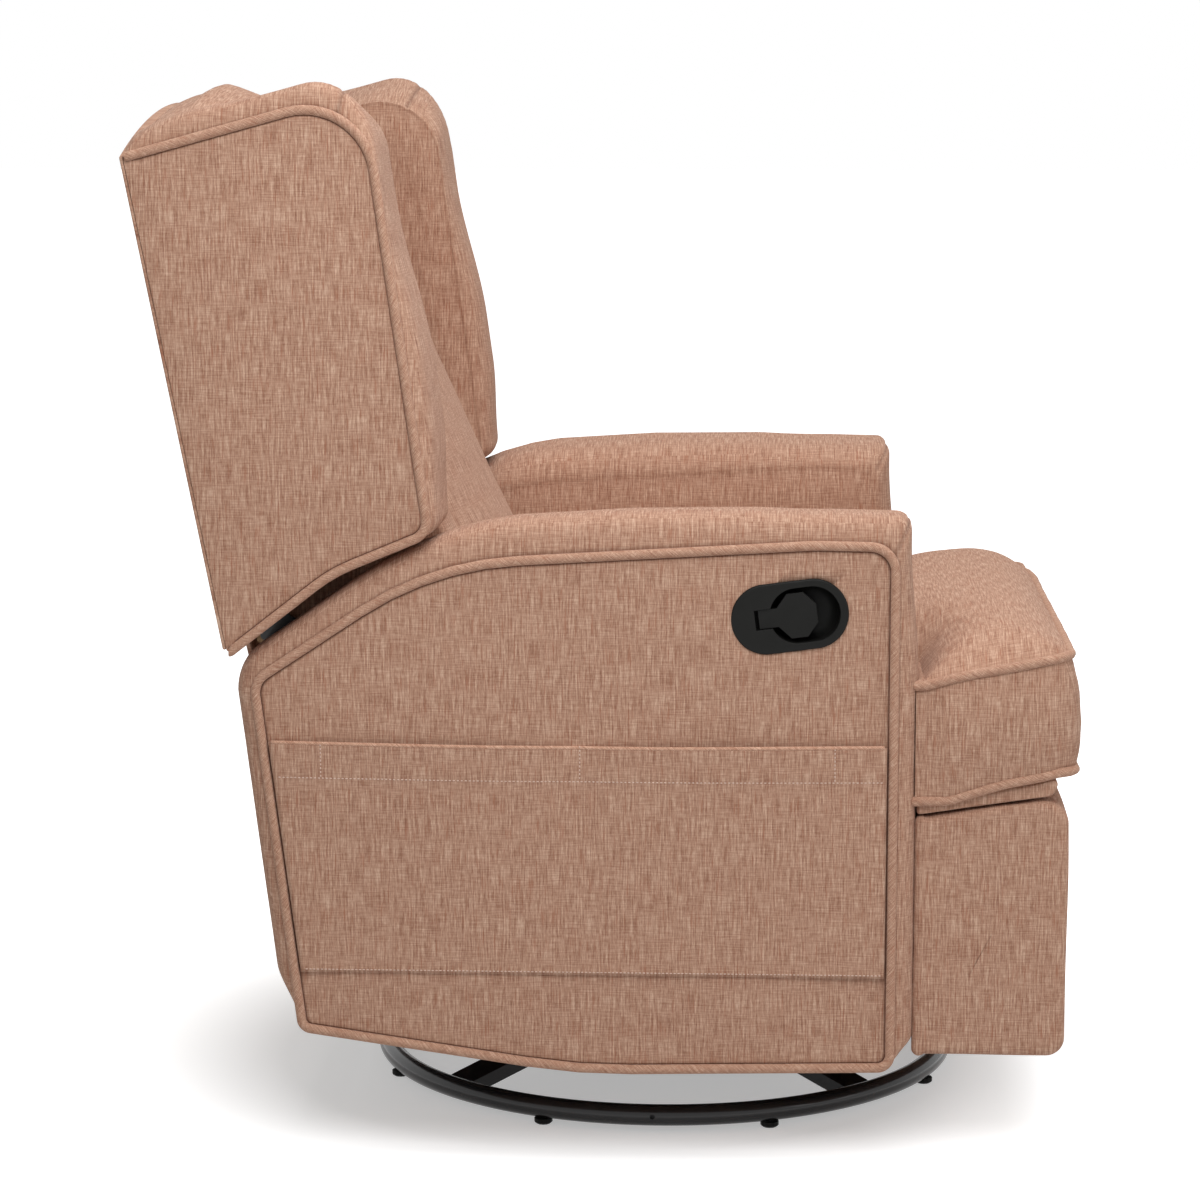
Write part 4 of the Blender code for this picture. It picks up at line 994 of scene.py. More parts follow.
@dataclass
class PaddedSlab:
    """An arm or a wing: a flat panel each side and a swelling band round the edge.

    piped(point) tells how much of the piping's width the outer panel is drawn in by,
    and slide(x, y, z) how far a place moves along the back's lean. The band stands
    steeply off the piping. Its top and its front are a little higher on their outer
    side by the two tilts. It is gathered along both seams, with puckers, and creased
    along the gusset's seam at the peak. The inner panel bends over at its shoulder.
    """

    outline: Outline
    crown: Crown
    centre: Pair
    peak: Peak
    tilt: Pair = (0.12, 0.0)
    piped: Callable[[np.ndarray], float] = lambda point: 1.0
    slide: Callable[[float, float, float], float] = lambda x, y, z: 0.0
    pillow: float = 0.0020
    spacing: float = 0.0038
    band_steps: int = 26
    panel_steps: int = 14
    band_lift: float = 0.0022
    shoulder: float = 0.007
    shoulder_from: float = -0.012
    shoulder_reach: float = 0.040
    seam_gap: float = 0.0004
    cord_share: float = 0.85
    seam_dip: float = 0.0014
    band_start: float = 0.0010
    inner_clear: float = 0.0010
    band_clear: float = 0.0012
    band_lump: float = 0.0010
    stuffed_from: float = 0.004
    pucker: float = 0.0004
    pucker_size: float = 0.021
    pucker_reach: float = 0.014
    gusset_width: float = 0.0024
    gusset_depth: float = 0.0016
    # How dark the gusset's seam is painted: painted shade.
    gusset_shade: float = 0.50
    lump: float = 0.0011
    lump_sizes: Pair = (0.11, 0.045)

    def shares(self) -> list[float]:
        """How far out each ring of a panel lies, from the edge to the middle."""
        inner = [0.960 * (1.0 - (k / self.panel_steps) ** 1.1) + 0.02 for k in range(self.panel_steps + 1)]
        return [1.0, 0.991, *inner]

    @staticmethod
    def bell(share: float) -> float:
        """How much of the swell there is at a share of the way across the band."""
        power = 6.0 if share < 0.5 else 2.8
        return max(0.0, 1.0 - abs(2.0 * share - 1.0) ** power) ** 0.55

    def build(self, name: str, side: Side) -> Piece:
        """Build the slab on one side of the chair.

        Args:
            name: The piece's name.
            side: Which side it is on.

        Returns:
            The slab.
        """
        points = densified(self.outline, self.spacing)
        normals = outward(points)
        swell = np.array([self.peak.draw(p, n, n * self.crown(p, n)) for p, n in zip(points, normals)])
        piped = np.array([self.piped(p) for p in points])
        upward = np.maximum(0.0, normals[:, 1])
        ahead = np.maximum(0.0, -normals[:, 0])
        lean = self.tilt[0] * upward ** 2 + self.tilt[1] * ahead ** 2
        gusset = np.exp(-(np.linalg.norm(points - self.peak.seam, axis=1) / self.gusset_width) ** 2)
        centre = np.array(self.centre)
        rings: list[np.ndarray] = []
        # shade holds each ring's painted seam shade, beside the piping and along the gusset's seam.
        shade: list[np.ndarray] = []
        edge = drawn_in(points, centre, self.seam_gap + piped * self.cord_share * CORD_RADIUS)
        for share in reversed(self.shares()):
            flat = centre + (edge - centre) * share
            dome = self.pillow * (1.0 - share ** 6)
            dip = np.where(share == 1.0, -self.seam_dip * piped, 0.0)
            rings.append(self._ring(flat, HALF_WIDTH + dome + dip, side, self.lump))
            shade.append(piped * (1.0 if share == 1.0 else 0.0))
        puckers = np.array([ripple((*p, 0.3 * side.value), self.pucker_size, 5.0) for p in points])
        stuffed = np.linalg.norm(swell, axis=1) > self.stuffed_from
        for k in range(self.band_steps + 1):
            t = 0.5 - 0.5 * math.cos(math.pi * k / self.band_steps)
            x = HALF_WIDTH - self.band_start * piped - (BAND_WIDTH - self.band_clear - self.shoulder) * t
            lift = (self.band_lift if k else 0.0) * piped * smooth_step(1.0 - t, 0.0, 0.2)
            gather = self.pucker * math.exp(-min(t, 1.0 - t) * BAND_WIDTH / self.pucker_reach)
            crease = self.gusset_depth * gusset * smooth_step(t, 0.0, 0.04)
            out = lift + gather * puckers * stuffed - crease
            rise = self.bell(t) * (1.0 + lean * (1.0 - 2.0 * t))
            flat = points + swell * rise[:, None] + normals * out[:, None]
            rings.append(self._ring(flat, x, side, self.band_lump if 0.05 < t < 0.95 else 0.0))
            # Painted shade on the band's first ring beside the piping, and along the gusset's seam.
            sewn = piped * (1.0 if k == 0 else 0.0)
            shade.append(np.maximum(sewn, gusset * self.gusset_shade * (t < 0.97)))
        near, far = self.shoulder_from, self.shoulder_reach
        full = 1.0 - smooth_step(0.0, near, far)
        for share in self.shares()[1:]:
            flat = centre + (points - centre) * share
            depth = np.linalg.norm(points - flat, axis=1)
            bend = np.array([1.0 - smooth_step(d, near, far) for d in depth]) / full
            rings.append(self._ring(flat, INNER_X + self.inner_clear + self.shoulder * bend, side, 0.0))
            shade.append(np.zeros(len(points)))
        piece = lofted(name, rings)
        mark_seams(piece, np.concatenate(shade))
        return piece

    def cord_path(self, side: Side) -> list[Vector]:
        """The line of the piping round the outer panel."""
        points = densified(self.outline, self.spacing)
        return [Vector((side.value * (HALF_WIDTH + 0.0002), y, z)) for y, z in points]

    def _ring(self, flat: np.ndarray, x: float | np.ndarray, side: Side, rough: float) -> np.ndarray:
        """Place one ring across the chair, with the cloth's slight unevenness.

        Args:
            flat: The ring's places in the slab's plane.
            x: How far out they lie, as one number or one for each.
            side: Which side the slab is on.
            rough: The height of the unevenness.

        Returns:
            The ring's points.
        """
        ring = np.empty((len(flat), 3))
        for i, ((y, z), out) in enumerate(zip(flat, np.broadcast_to(x, len(flat)))):
            large, small = self.lump_sizes
            lump = rough * (ripple((out, y, z), large, 3.0) + 0.5 * ripple((out, y, z), small, 9.0))
            rise = self.slide(out, y, z)
            ring[i] = (side.value * (out + lump), y + rise * BACK_SLOPE, z + rise)
        return ring


@dataclass
class Bolster:
    """A stuffed form of constant outline across the chair, with rounded ends.

    swell(x, y, z, normal) is how far a place stands out, and slide(x, y, z) how far it
    moves along the back's lean. The ends are fanned from the centre, or one flat face
    where there is no centre.
    """

    outline: Outline
    half: float
    centre: Pair | None = None
    end_round: float = 0.020
    spacing: float = 0.006
    steps: int = 48
    swell: Callable[[float, float, float, np.ndarray], float] = lambda x, y, z, n: 0.0
    slide: Callable[[float, float, float], float] = lambda x, y, z: 0.0
    turn_steps: int = 6
    cap_shares: tuple = (0.97, 0.87, 0.75, 0.6, 0.4, 0.2, 0.03)

    def build(self, name: str) -> Piece:
        """Build the form.

        Args:
            name: The piece's name.

        Returns:
            The closed shell.
        """
        points = densified(self.outline, self.spacing)
        normals = outward(points)
        bends = [math.pi / 2.0 * (1.0 - k / self.turn_steps) for k in range(self.turn_steps + 1)]
        ends = [(self.half - self.end_round * (1.0 - math.cos(a)), self.end_round * (1.0 - math.sin(a)))
                for a in reversed(bends)]
        flat_half = self.half - self.end_round
        middle = [(flat_half * (1.0 - 2.0 * k / self.steps), 0.0) for k in range(1, self.steps)]
        every = ends + middle + [(-x, inset) for x, inset in reversed(ends)]
        rings = [self._ring(self._inside(points, normals, inset), x, normals) for x, inset in every]
        if self.centre is not None:
            hub = np.array(self.centre)
            spokes = self._inside(points, normals, self.end_round) - hub
            near, far = (
                [self._ring(hub + spokes * share, x, normals) for share in self.cap_shares]
                for x in (self.half, -self.half)
            )
            rings = near[::-1] + rings + far
        return lofted(name, rings)

    def _inside(self, points: np.ndarray, normals: np.ndarray, inset: float) -> np.ndarray:
        """The outline drawn in by an inset.

        Args:
            points: The outline's points.
            normals: Its outward normals.
            inset: How far it is drawn in.

        Returns:
            The inner outline.
        """
        if self.centre is None:
            return points - normals * inset
        return drawn_in(points, np.array(self.centre), np.full(len(points), inset))

    def _ring(self, flat: np.ndarray, x: float, normals: np.ndarray) -> np.ndarray:
        """Place one ring, swollen and slid as the form asks.

        Args:
            flat: The ring's places in the outline's plane.
            x: Its place across the chair.
            normals: The outline's outward normals.

        Returns:
            The ring's points.
        """
        ring = np.empty((len(flat), 3))
        for i, ((y, z), n) in enumerate(zip(flat, normals)):
            out = self.swell(x, y, z, n)
            rise = self.slide(x, y, z)
            ring[i] = (x, y + n[0] * out + rise * BACK_SLOPE, z + n[1] * out + rise)
        return ring


def arch_rise(x: float) -> float:
    """Height of the back's arched top line above the wings' rear corners."""
    return ARCH_RISE * (1.0 - min(1.0, abs(x) / HALF_WIDTH) ** 1.75)


@dataclass
class Arms:
    """The two padded arms with their piping."""

    corners: tuple = (
        (-0.2735, 0.092, 0.012), (-0.2735, 0.5880, 0.024), (-0.200, 0.5892, 0.120), (0.157, 0.5685, 0.300),
        (0.325, 0.457, 0.022), (0.283, 0.124, 0.010), (0.020, 0.086, 0.600),
    )
    top_places: tuple = (-0.270, -0.200, -0.150, -0.030, 0.080, 0.170, 0.300)
    top: tuple = (0.0240, 0.0245, 0.0285, 0.0340, 0.0335, 0.0280, 0.0230)
    front: float = 0.0210
    front_gain: float = 0.0025
    rear: float = 0.018
    centre: Pair = (0.010, 0.330)
    peak_outs: Pair = (0.014, 0.0240)
    peak_radius: float = 0.012
    peak_reach: float = 0.090
    hole: Triple = (0.1006, 0.0586, 0.0275)

    def crown(self, point: np.ndarray, normal: np.ndarray) -> float:
        """How far the band swells out from the outline.

        Args:
            point: A point of the outline.
            normal: Its outward normal.

        Returns:
            The swell in metres.
        """
        height = point[1]
        out = float(np.interp(point[0], self.top_places, self.top)) * max(0.0, normal[1]) ** 2
        ahead = self.front + self.front_gain * smooth_step(height, 0.42, 0.50)
        out += ahead * max(0.0, -normal[0]) ** 2 * smooth_step(height, 0.090, 0.120)
        return out + self.rear * max(0.0, normal[0]) ** 2 * smooth_step(height, 0.124, 0.184)

    def build(self) -> None:
        """Build and dress both arms."""
        peak = Peak.over(self.corners, 1, self.peak_outs, self.peak_radius, self.peak_reach, 0.6)
        slab = PaddedSlab(rounded(self.corners), self.crown, self.centre, peak, (0.12, -0.06))
        for side in Side:
            arm = slab.build(f"arm_cover_{side.label}", side)
            if side is Side.RIGHT:
                self.cut_handle_hole(arm)
            finish_piece(arm, "chassis", CLOTH, [f"arm_{side.label}"])
            path = slab.cord_path(side)
            finish_piece(tube(f"arm_piping_{side.label}", path, CORD_RADIUS, True), "chassis", BIAS)

    def cut_handle_hole(self, arm: Piece) -> None:
        """Cut the opening that the release bezel is let into.

        Args:
            arm: The right arm's cover.
        """
        length, height, depth = self.hole
        cutter = racetrack("handle_cutter", length, height, -HALF_WIDTH - CUT_PAST, -HALF_WIDTH + depth)
        combine(arm, cutter, "DIFFERENCE")


def racetrack(name: str, length: float, height: float, outer_x: float, inner_x: float) -> Piece:
    """A solid with a racetrack outline round the handle's centre.

    Args:
        name: The object's name.
        length: Overall length.
        height: Overall height.
        outer_x: x of the outer face.
        inner_x: x of the inner face.

    Returns:
        The solid.
    """
    bpy.ops.object.select_all(action="DESELECT")
    bpy.ops.mesh.primitive_cylinder_add(
        vertices=64, radius=height / 2.0, depth=abs(inner_x - outer_x), location=(0.0, 0.0, 0.0),
        rotation=(0.0, math.pi / 2.0, 0.0),
    )
    piece = bpy.context.object
    piece.name = name
    bpy.ops.object.transform_apply(location=False, rotation=True, scale=True)
    stretch = (length - height) / 2.0
    for vertex in piece.data.vertices:
        if abs(vertex.co.y) > 1e-6:
            vertex.co.y += math.copysign(stretch, vertex.co.y)
    turn = Matrix.Rotation(-HANDLE_TILT, 4, "X")
    centre = Vector(((outer_x + inner_x) / 2.0, *HANDLE_CENTRE))
    piece.data.transform(Matrix.Translation(centre) @ turn)
    return piece


@dataclass
class Wings:
    """The two wings of the back, piped along their foot, front and top."""

    top_places: tuple = (0.210, 0.270, 0.300, 0.330, 0.360, 0.389, 0.430, 0.442)
    top: tuple = (0.0150, 0.0145, 0.0175, 0.0220, 0.0225, 0.0172, 0.0060, 0.0)
    front: float = 0.019
    front_slims: float = 0.009
    taper: float = 0.110
    rear_depth: float = 0.0036
    rear_top: float = 0.944
    rear_reach: Pair = (0.442, 0.432)
    slim_high: Pair = (0.80, 0.95)
    slim_low: Pair = (0.60, 0.70)
    piping_ends: float = 0.0020
    centre: Pair = (0.285, 0.760)
    peak_outs: Pair = (0.0130, 0.0040)
    peak_radius: float = 0.060
    peak_reach: float = 0.130

    @property
    def corners(self) -> list[Triple]:
        """The corners of the side panel.

        Returns:
            The corners with their radii, from the rear top by the front to the rear foot.
        """
        depth = self.rear_depth
        return [
            (back_plane(self.rear_top, depth), self.rear_top, 0.003), (0.2175, 1.0045, 0.064),
            (0.160, 0.598, 0.018), (0.250, 0.5605, 0.150),
            (back_plane(BACK_LOW[1], depth), BACK_LOW[1], 0.003),
        ]

    def crown(self, point: np.ndarray, normal: np.ndarray) -> float:
        """How far the band swells out from the outline.

        Args:
            point: A point of the outline.
            normal: Its outward normal.

        Returns:
            The swell in metres.
        """
        out = float(np.interp(point[0], self.top_places, self.top)) * max(0.0, normal[1]) ** 2
        height = point[1]
        slim = smooth_step(height, *self.slim_high)
        slim += smooth_step(-height, -self.slim_low[1], -self.slim_low[0])
        ahead = (self.front - self.front_slims * slim) * max(0.0, -normal[0]) ** 2
        if normal[1] < 0.0:
            ahead *= 1.0 - normal[1] ** 2
        return out + ahead

    def piped(self, point: np.ndarray) -> float:
        """The rear edge has no piping."""
        ahead = back_plane(point[1], self.rear_depth) - point[0]
        return smooth_step(ahead, 0.001, 0.008)

    def slide(self, x: float, y: float, z: float) -> float:
        """The rear top follows the arched back."""
        behind = smooth_step(y, self.rear_reach[0] - self.taper, self.rear_reach[1])
        return arch_rise(x) * behind * smooth_step(z, self.rear_top - self.taper, self.rear_top)

    def build(self) -> None:
        """Build and dress both wings."""
        peak = Peak.over(self.corners, 1, self.peak_outs, self.peak_radius, self.peak_reach, 0.55)
        slab = PaddedSlab(
            rounded(self.corners), self.crown, self.centre, peak, (0.90, -0.20), self.piped, self.slide,
        )
        for side in Side:
            wing = slab.build(f"wing_cover_{side.label}", side)
            finish_piece(wing, "back", CLOTH, [f"wing_{side.label}"])
            path = self.open_path(slab.cord_path(side))
            finish_piece(tube(f"wing_piping_{side.label}", path, CORD_RADIUS, False), "back", BIAS)

    def open_path(self, path: list[Vector]) -> list[Vector]:
        """The part of the closed path that lies ahead of the rear edge.

        Args:
            path: The closed path.

        Returns:
            The open path.
        """
        ahead = [back_plane(p.z, self.rear_depth) - p.y > self.piping_ends for p in path]
        start = next(i for i in range(len(path)) if ahead[i] and not ahead[i - 1])
        return (path[start:] + path[:start])[:sum(ahead)]


@dataclass
class SeatCushion:
    """The T cushion, with piping round its top and bottom edges.

    The tables give the heights of the ears' two side seams by the distance in front
    of the origin.
    """

    ear_half: float = 0.362
    body_half: float = 0.2475
    front: float = -0.4395
    ear_rear: float = -0.3000
    rear: float = 0.082
    crown: float = 0.0405
    reaches: tuple = (0.302, 0.325, 0.352, 0.379, 0.406, 0.433, 0.448)
    low_seam: tuple = (0.3400, 0.3410, 0.3496, 0.3575, 0.3632, 0.3688, 0.3722)
    top_seam: tuple = (0.4560, 0.4620, 0.4680, 0.4735, 0.4785, 0.4830, 0.4845)
    sway: float = 0.0062
    ear_tuck: float = 0.0560
    base_slope: float = math.radians(5.0)
    corner_dip: float = 0.004
    rear_fall: float = 0.045
    left_fall: float = 0.015
    side_bulge: float = 0.0075
    gap: float = 0.0015
    side_low: float = 0.004
    uneven: float = 0.0008
    cord_wave: float = 0.0012
    wave_size: float = 0.05
    plan_spacing: float = 0.006
    top_inset: float = 0.003
    cord_low: float = 0.006
    dome_reach: float = 0.075
    dome_behind: float = 0.009
    centre: Pair = (0.0, -0.360)
    panel_steps: int = 26
    side_steps: int = 12

    def plan(self) -> np.ndarray:
        """The cushion's outline from above, its ears laid against the arms.

        Returns:
            The outline's points.
        """
        corners = [
            (-self.ear_half, self.front, 0.030), (self.ear_half, self.front, 0.030),
            (self.ear_half, self.ear_rear, 0.004), (self.body_half, self.ear_rear, 0.004),
            (self.body_half, self.rear, 0.020), (-self.body_half, self.rear, 0.020),
            (-self.body_half, self.ear_rear, 0.004), (-self.ear_half, self.ear_rear, 0.004),
        ]
        outline = densified(rounded(corners), self.plan_spacing)
        for point in outline:
            reach = smooth_step(point[1], self.front + 0.09, self.ear_rear - 0.006)
            share = (HALF_WIDTH - abs(point[0])) / BAND_WIDTH
            if 0.0 < share < 0.5 and point[1] < self.ear_rear + 0.001:
                point[1] += self.ear_tuck * (1.0 - PaddedSlab.bell(share)) * reach
        return outline

    def base(self, x: float, reach: float) -> float:
        """Height of the underside at a distance in front of the origin.

        Args:
            x: Place across the chair.
            reach: Distance in front of the origin.

        Returns:
            The height in metres.
        """
        low = float(np.interp(reach, self.reaches, self.low_seam))
        if reach < self.reaches[0]:
            return low - (self.reaches[0] - reach) * math.tan(self.base_slope)
        inside = smooth_step(self.ear_half - abs(x), 0.002, 0.040)
        return low - self.corner_dip * inside * smooth_step(reach, 0.415, 0.442)

    def seam_height(self, x: float, y: float) -> float:
        """Height of the top seam.

        Args:
            x: Place across the chair.
            y: Place from front to rear.

        Returns:
            The height in metres.
        """
        high = float(np.interp(-y, self.reaches, self.top_seam))
        behind = max(0.0, self.reaches[0] + y)
        return high - behind * self.rear_fall - self.left_fall * smooth_step(x, 0.12, 0.36)

    def build(self) -> None:
        """Build and dress the cushion."""
        outline = self.plan()
        normals = outward(outline)
        centre = np.array(self.centre)
        shares = [1.0 - (k / self.panel_steps) ** 1.2 * 0.985 for k in range(self.panel_steps + 1)]
        low = [centre + (outline - normals * self.side_low - centre) * share for share in reversed(shares)]
        top = [centre + (outline - normals * self.top_inset - centre) * share for share in shares[1:]]
        rings = [np.array([(x, y, self.base(x, -y) + self.gap) for x, y in flat]) for flat in low]
        rings += [self.side_ring(outline, normals, k / self.side_steps) for k in range(self.side_steps + 1)]
        rings += [
            np.array([(x, y, self.seam_height(x, y) + self.dome(outline, x, y)) for x, y in flat])
            for flat in top
        ]
        finish_piece(lofted("seat_cushion_cover", rings), "chassis", CLOTH, ["seat_cushion"])
        for name, level in (("low", 0.0), ("top", 1.0)):
            path = self.cord_path(outline, normals, level)
            finish_piece(tube(f"seat_piping_{name}", path, CORD_RADIUS, True), "chassis", BIAS)

    def side_ring(self, outline: np.ndarray, normals: np.ndarray, level: float) -> np.ndarray:
        """One ring of the cushion's side.

        Args:
            outline: The cushion's outline from above.
            normals: Its outward normals.
            level: How far up the side the ring lies, from 0 to 1.

        Returns:
            The ring's points.
        """
        out = self.side_bulge * (1.0 - (2.0 * level - 1.0) ** 2)
        ring = []
        for (x, y), n in zip(outline, normals):
            ahead = 1.0 - smooth_step(n[1], 0.0, 0.4)
            bulge = out * smooth_step(self.ear_rear - y, 0.0, 0.030) * ahead
            bulge += self.uneven * ripple((x, y, 3.0 * level), self.wave_size, 1.0) * ahead
            low = self.base(x, -y) + self.side_low
            sway = self.sway * (1.0 - level) * smooth_step(-n[1], 0.5, 0.9)
            height = low + (self.seam_height(x, y) - low) * level
            ring.append((x + n[0] * bulge, y + n[1] * (bulge + sway), height))
        return np.array(ring)

    def cord_path(self, outline: np.ndarray, normals: np.ndarray, level: float) -> list[Vector]:
        """The line of one piping, a little uneven as sewn cloth is.

        Args:
            outline: The cushion's outline from above.
            normals: Its outward normals.
            level: 0 for the lower piping, 1 for the upper one.

        Returns:
            The line's points.
        """
        path = []
        for (x, y), n in zip(outline, normals):
            low = self.base(x, -y) + self.cord_low
            wave = self.cord_wave * ripple((x, y, level), self.wave_size, 2.0)
            side = self.uneven * ripple((x, y, level), 0.035, 7.0)
            side += self.sway * (1.0 - level) * smooth_step(-n[1], 0.5, 0.9)
            height = low + (self.seam_height(x, y) - low) * level + wave
            path.append(Vector((x + n[0] * side, y + n[1] * side, height)))
        return path

    def dome(self, outline: np.ndarray, x: float, y: float) -> float:
        """How far the top stands above its seam.

        Args:
            outline: The cushion's outline from above.
            x: Place across the chair.
            y: Place from front to rear.

        Returns:
            The height in metres.
        """
        depth = min(1.0, distance_to(outline, (x, y)) / self.dome_reach)
        wide = 1.0 - 0.35 * (abs(x) / self.ear_half) ** 3
        inside = smooth_step(self.ear_half - abs(x), 0.0, 0.100)
        behind = self.dome_behind * smooth_step(y, -0.400, -0.310) * inside
        return (self.crown + behind) * (1.0 - (1.0 - depth) ** 2.3) * wide


@dataclass
class BackCushion:
    """The inside back, arched along its top."""

    half: float = 0.240
    crown: float = 0.034
    peak: float = 1.000
    step: float = 0.949
    foot: float = 0.4353
    rear_depth: float = 0.0103
    rail_depth: float = 0.0409
    fold_place: float = 0.200
    fold_width: float = 0.012
    fold_depth: float = 0.0035
    uneven: float = 0.0012
    uneven_size: float = 0.10

    def swell(self, x: float, y: float, z: float, normal: np.ndarray) -> float:
        """The front bows out across the chair, with a soft upright fold each side.

        Args:
            x: Place across the chair.
            y: Place from front to rear.
            z: Height.
            normal: The outline's outward normal there.

        Returns:
            How far the place stands out.
        """
        across = 1.0 - min(1.0, abs(x) / self.half) ** 2
        ahead = max(0.0, -normal[0])
        valley = math.exp(-((abs(x) - self.fold_place) / self.fold_width) ** 2)
        fold = self.fold_depth * valley * smooth_step(0.75 - z, 0.0, 0.2)
        bow = across * self.crown * smooth_step(z, 0.435, 0.500)
        return ahead * (bow - fold + self.uneven * ripple((x, y, z), self.uneven_size, 4.0))

    def slide(self, x: float, y: float, z: float) -> float:
        """The top follows the arch."""
        return (arch_rise(x) - ARCH_RISE) * smooth_step(z, self.step, self.peak)

    def build(self) -> None:
        """Build and dress the cushion."""
        behind, depth = self.rear_depth, self.rail_depth
        leaning = [
            (self.peak - 0.009, behind, 0.010), (self.step, behind, 0.0), (self.step, depth, 0.0),
            (0.935, depth, 0.0), (self.foot, depth, 0.0),
        ]
        outline = rounded([
            (0.092, self.foot, 0.016), (0.116, 0.500, 0.060), (0.163, 0.593, 0.200), (0.225, 0.731, 0.300),
            (0.306, 0.950, 0.120), (0.355, self.peak - 0.022, 0.050), (0.416, self.peak + 0.002, 0.040),
            *((back_plane(height, inside), height, radius) for height, inside, radius in leaning),
        ])
        form = Bolster(outline, self.half, None, 0.0055, 0.007, 56, self.swell, self.slide)
        finish_piece(form.build("back_cushion_cover"), "back", CLOTH, ["back_cushion"])


@dataclass
class FootrestBlock:
    """The stuffed block that hangs under the seat when the chair is closed."""

    half: float = 0.360
    front: float = -0.439
    rear: float = -0.3005
    foot: float = 0.100
    rear_top: float = 0.3286
    front_top: float = 0.350
    bow: float = 0.005
    bow_height: float = 0.25
    rear_swell: float = 0.0060
    uneven: float = 0.0008
    uneven_size: float = 0.09
    centre: Pair = (-0.370, 0.222)

    def swell(self, x: float, y: float, z: float, normal: np.ndarray) -> float:
        """The front bows out a little, and the rear near both ends.

        Args:
            x: Place across the chair.
            y: Place from front to rear.
            z: Height.
            normal: The outline's outward normal there.

        Returns:
            How far the place stands out.
        """
        across = 1.0 - min(1.0, abs(x) / self.half) ** 4
        up = min(1.0, max(0.0, (z - self.foot) / self.bow_height))
        front = max(0.0, -normal[0]) * across * self.bow * math.sin(math.pi * up)
        behind = max(0.0, normal[0]) * self.rear_swell * smooth_step(abs(x), 0.325, 0.348)
        return front + behind + self.uneven * ripple((x, y, z), self.uneven_size, 8.0)

    def build(self) -> None:
        """Build and dress the block."""
        outline = rounded([
            (self.rear, self.foot, 0.005), (self.rear, self.rear_top, 0.005),
            (self.front, self.front_top, 0.022), (self.front, self.foot, 0.0176),
        ])
        form = Bolster(outline, self.half, self.centre, 0.007, 0.006, 60, self.swell)
        finish_piece(form.build("footrest_cover"), "footrest", CLOTH, ["footrest_pad"])


@dataclass
class Boards:
    """The covered strip under the cushion and the covered boards at the rear."""

    apron: tuple = (
        (-0.2965, 0.3322, 0.003), (-0.2965, 0.3430, 0.004), (-0.352, 0.3535, 0.050),
        (-0.431, 0.3690, 0.006), (-0.424, 0.3515, 0.008),
    )
    apron_half: float = 0.359
    apron_centre: Pair = (-0.365, 0.3468)
    valance: tuple = (
        (0.296, 0.128, 0.004), (0.308, 0.390, 0.004), (0.296, 0.390, 0.004), (0.284, 0.128, 0.004),
    )
    valance_half: float = 0.2495
    end_round: float = 0.004
    panel_low: float = 0.402
    panel_side_low: float = 0.487
    panel_depth: float = 0.0100
    wing_panel_depth: float = 0.0032
    tongue_half: float = 0.2455
    panel_top: float = 0.9445
    panel_puff: float = 0.0035
    columns: int = 60
    rows: int = 44
    rim_shift: float = 0.01
    side_gap: float = 0.0004
    edge_round: float = 0.0012

    def build(self) -> None:
        """Build and dress the boards."""
        apron = Bolster(rounded(self.apron), self.apron_half, self.apron_centre, self.end_round, 0.006, 40)
        finish_piece(apron.build("apron_cover"), "chassis", CLOTH, ["seat_rail_front"])
        valance = Bolster(rounded(self.valance), self.valance_half, None, self.end_round, 0.008, 30)
        finish_piece(valance.build("rear_valance_cover"), "chassis", CLOTH, ["rear_valance"])
        self.outside_back()

    def outside_back(self) -> None:
        """The arched panel behind the wings, with a tongue between the arms."""
        columns, rows = self.columns, self.rows
        vertices = [
            self._panel_place(c / columns, r / rows, layer)
            for layer in (0, 1) for r in range(rows + 1) for c in range(columns + 1)
        ]
        wide = columns + 1
        size = wide * (rows + 1)
        behind = cells(columns, rows)
        faces = behind + [tuple(v + size for v in face[::-1]) for face in behind]
        corners = [[(vertices[v][0], vertices[v][2]) for v in face] for face in faces]
        rim = list(range(wide)) + [r * wide + columns for r in range(1, rows + 1)]
        rim += [rows * wide + c for c in reversed(range(columns))]
        rim += [r * wide for r in range(rows - 1, 0, -1)]
        for a, b in zip(rim, rim[1:] + rim[:1]):
            face = (a, b, b + size, a + size)
            faces.append(face)
            corners.append([(vertices[v][0] + self.rim_shift, vertices[v][2]) for v in face])
        piece = new_mesh("outside_back_cover", np.array(vertices), faces, corners)
        face_outwards(piece)
        bevel_edges(piece, self.edge_round, 3, 50.0)
        piece.data.shade_smooth()
        finish_piece(piece, "back", CLOTH, ["outside_back"])

    def _panel_place(self, across: float, up: float, layer: int) -> Triple:
        """A place on the panel's rear (0) or front (1) face.

        Args:
            across: Share of the way across the panel.
            up: Share of the way up.
            layer: 0 for the rear face, 1 for the front one.

        Returns:
            The place.
        """
        x = (2.0 * across - 1.0) * (HALF_WIDTH - self.side_gap)
        side_low = smooth_step(abs(x), self.tongue_half - 0.004, self.tongue_half + 0.006)
        low = self.panel_low + (self.panel_side_low - self.panel_low) * side_low
        z = low + (self.panel_top + arch_rise(x) - low) * up
        thick = self.panel_depth + (self.wing_panel_depth - self.panel_depth) * side_low
        puff = self.panel_puff * math.sin(math.pi * across) ** 0.6 * math.sin(math.pi * up) ** 0.6
        return x, back_plane(z, thick if layer else -puff), z


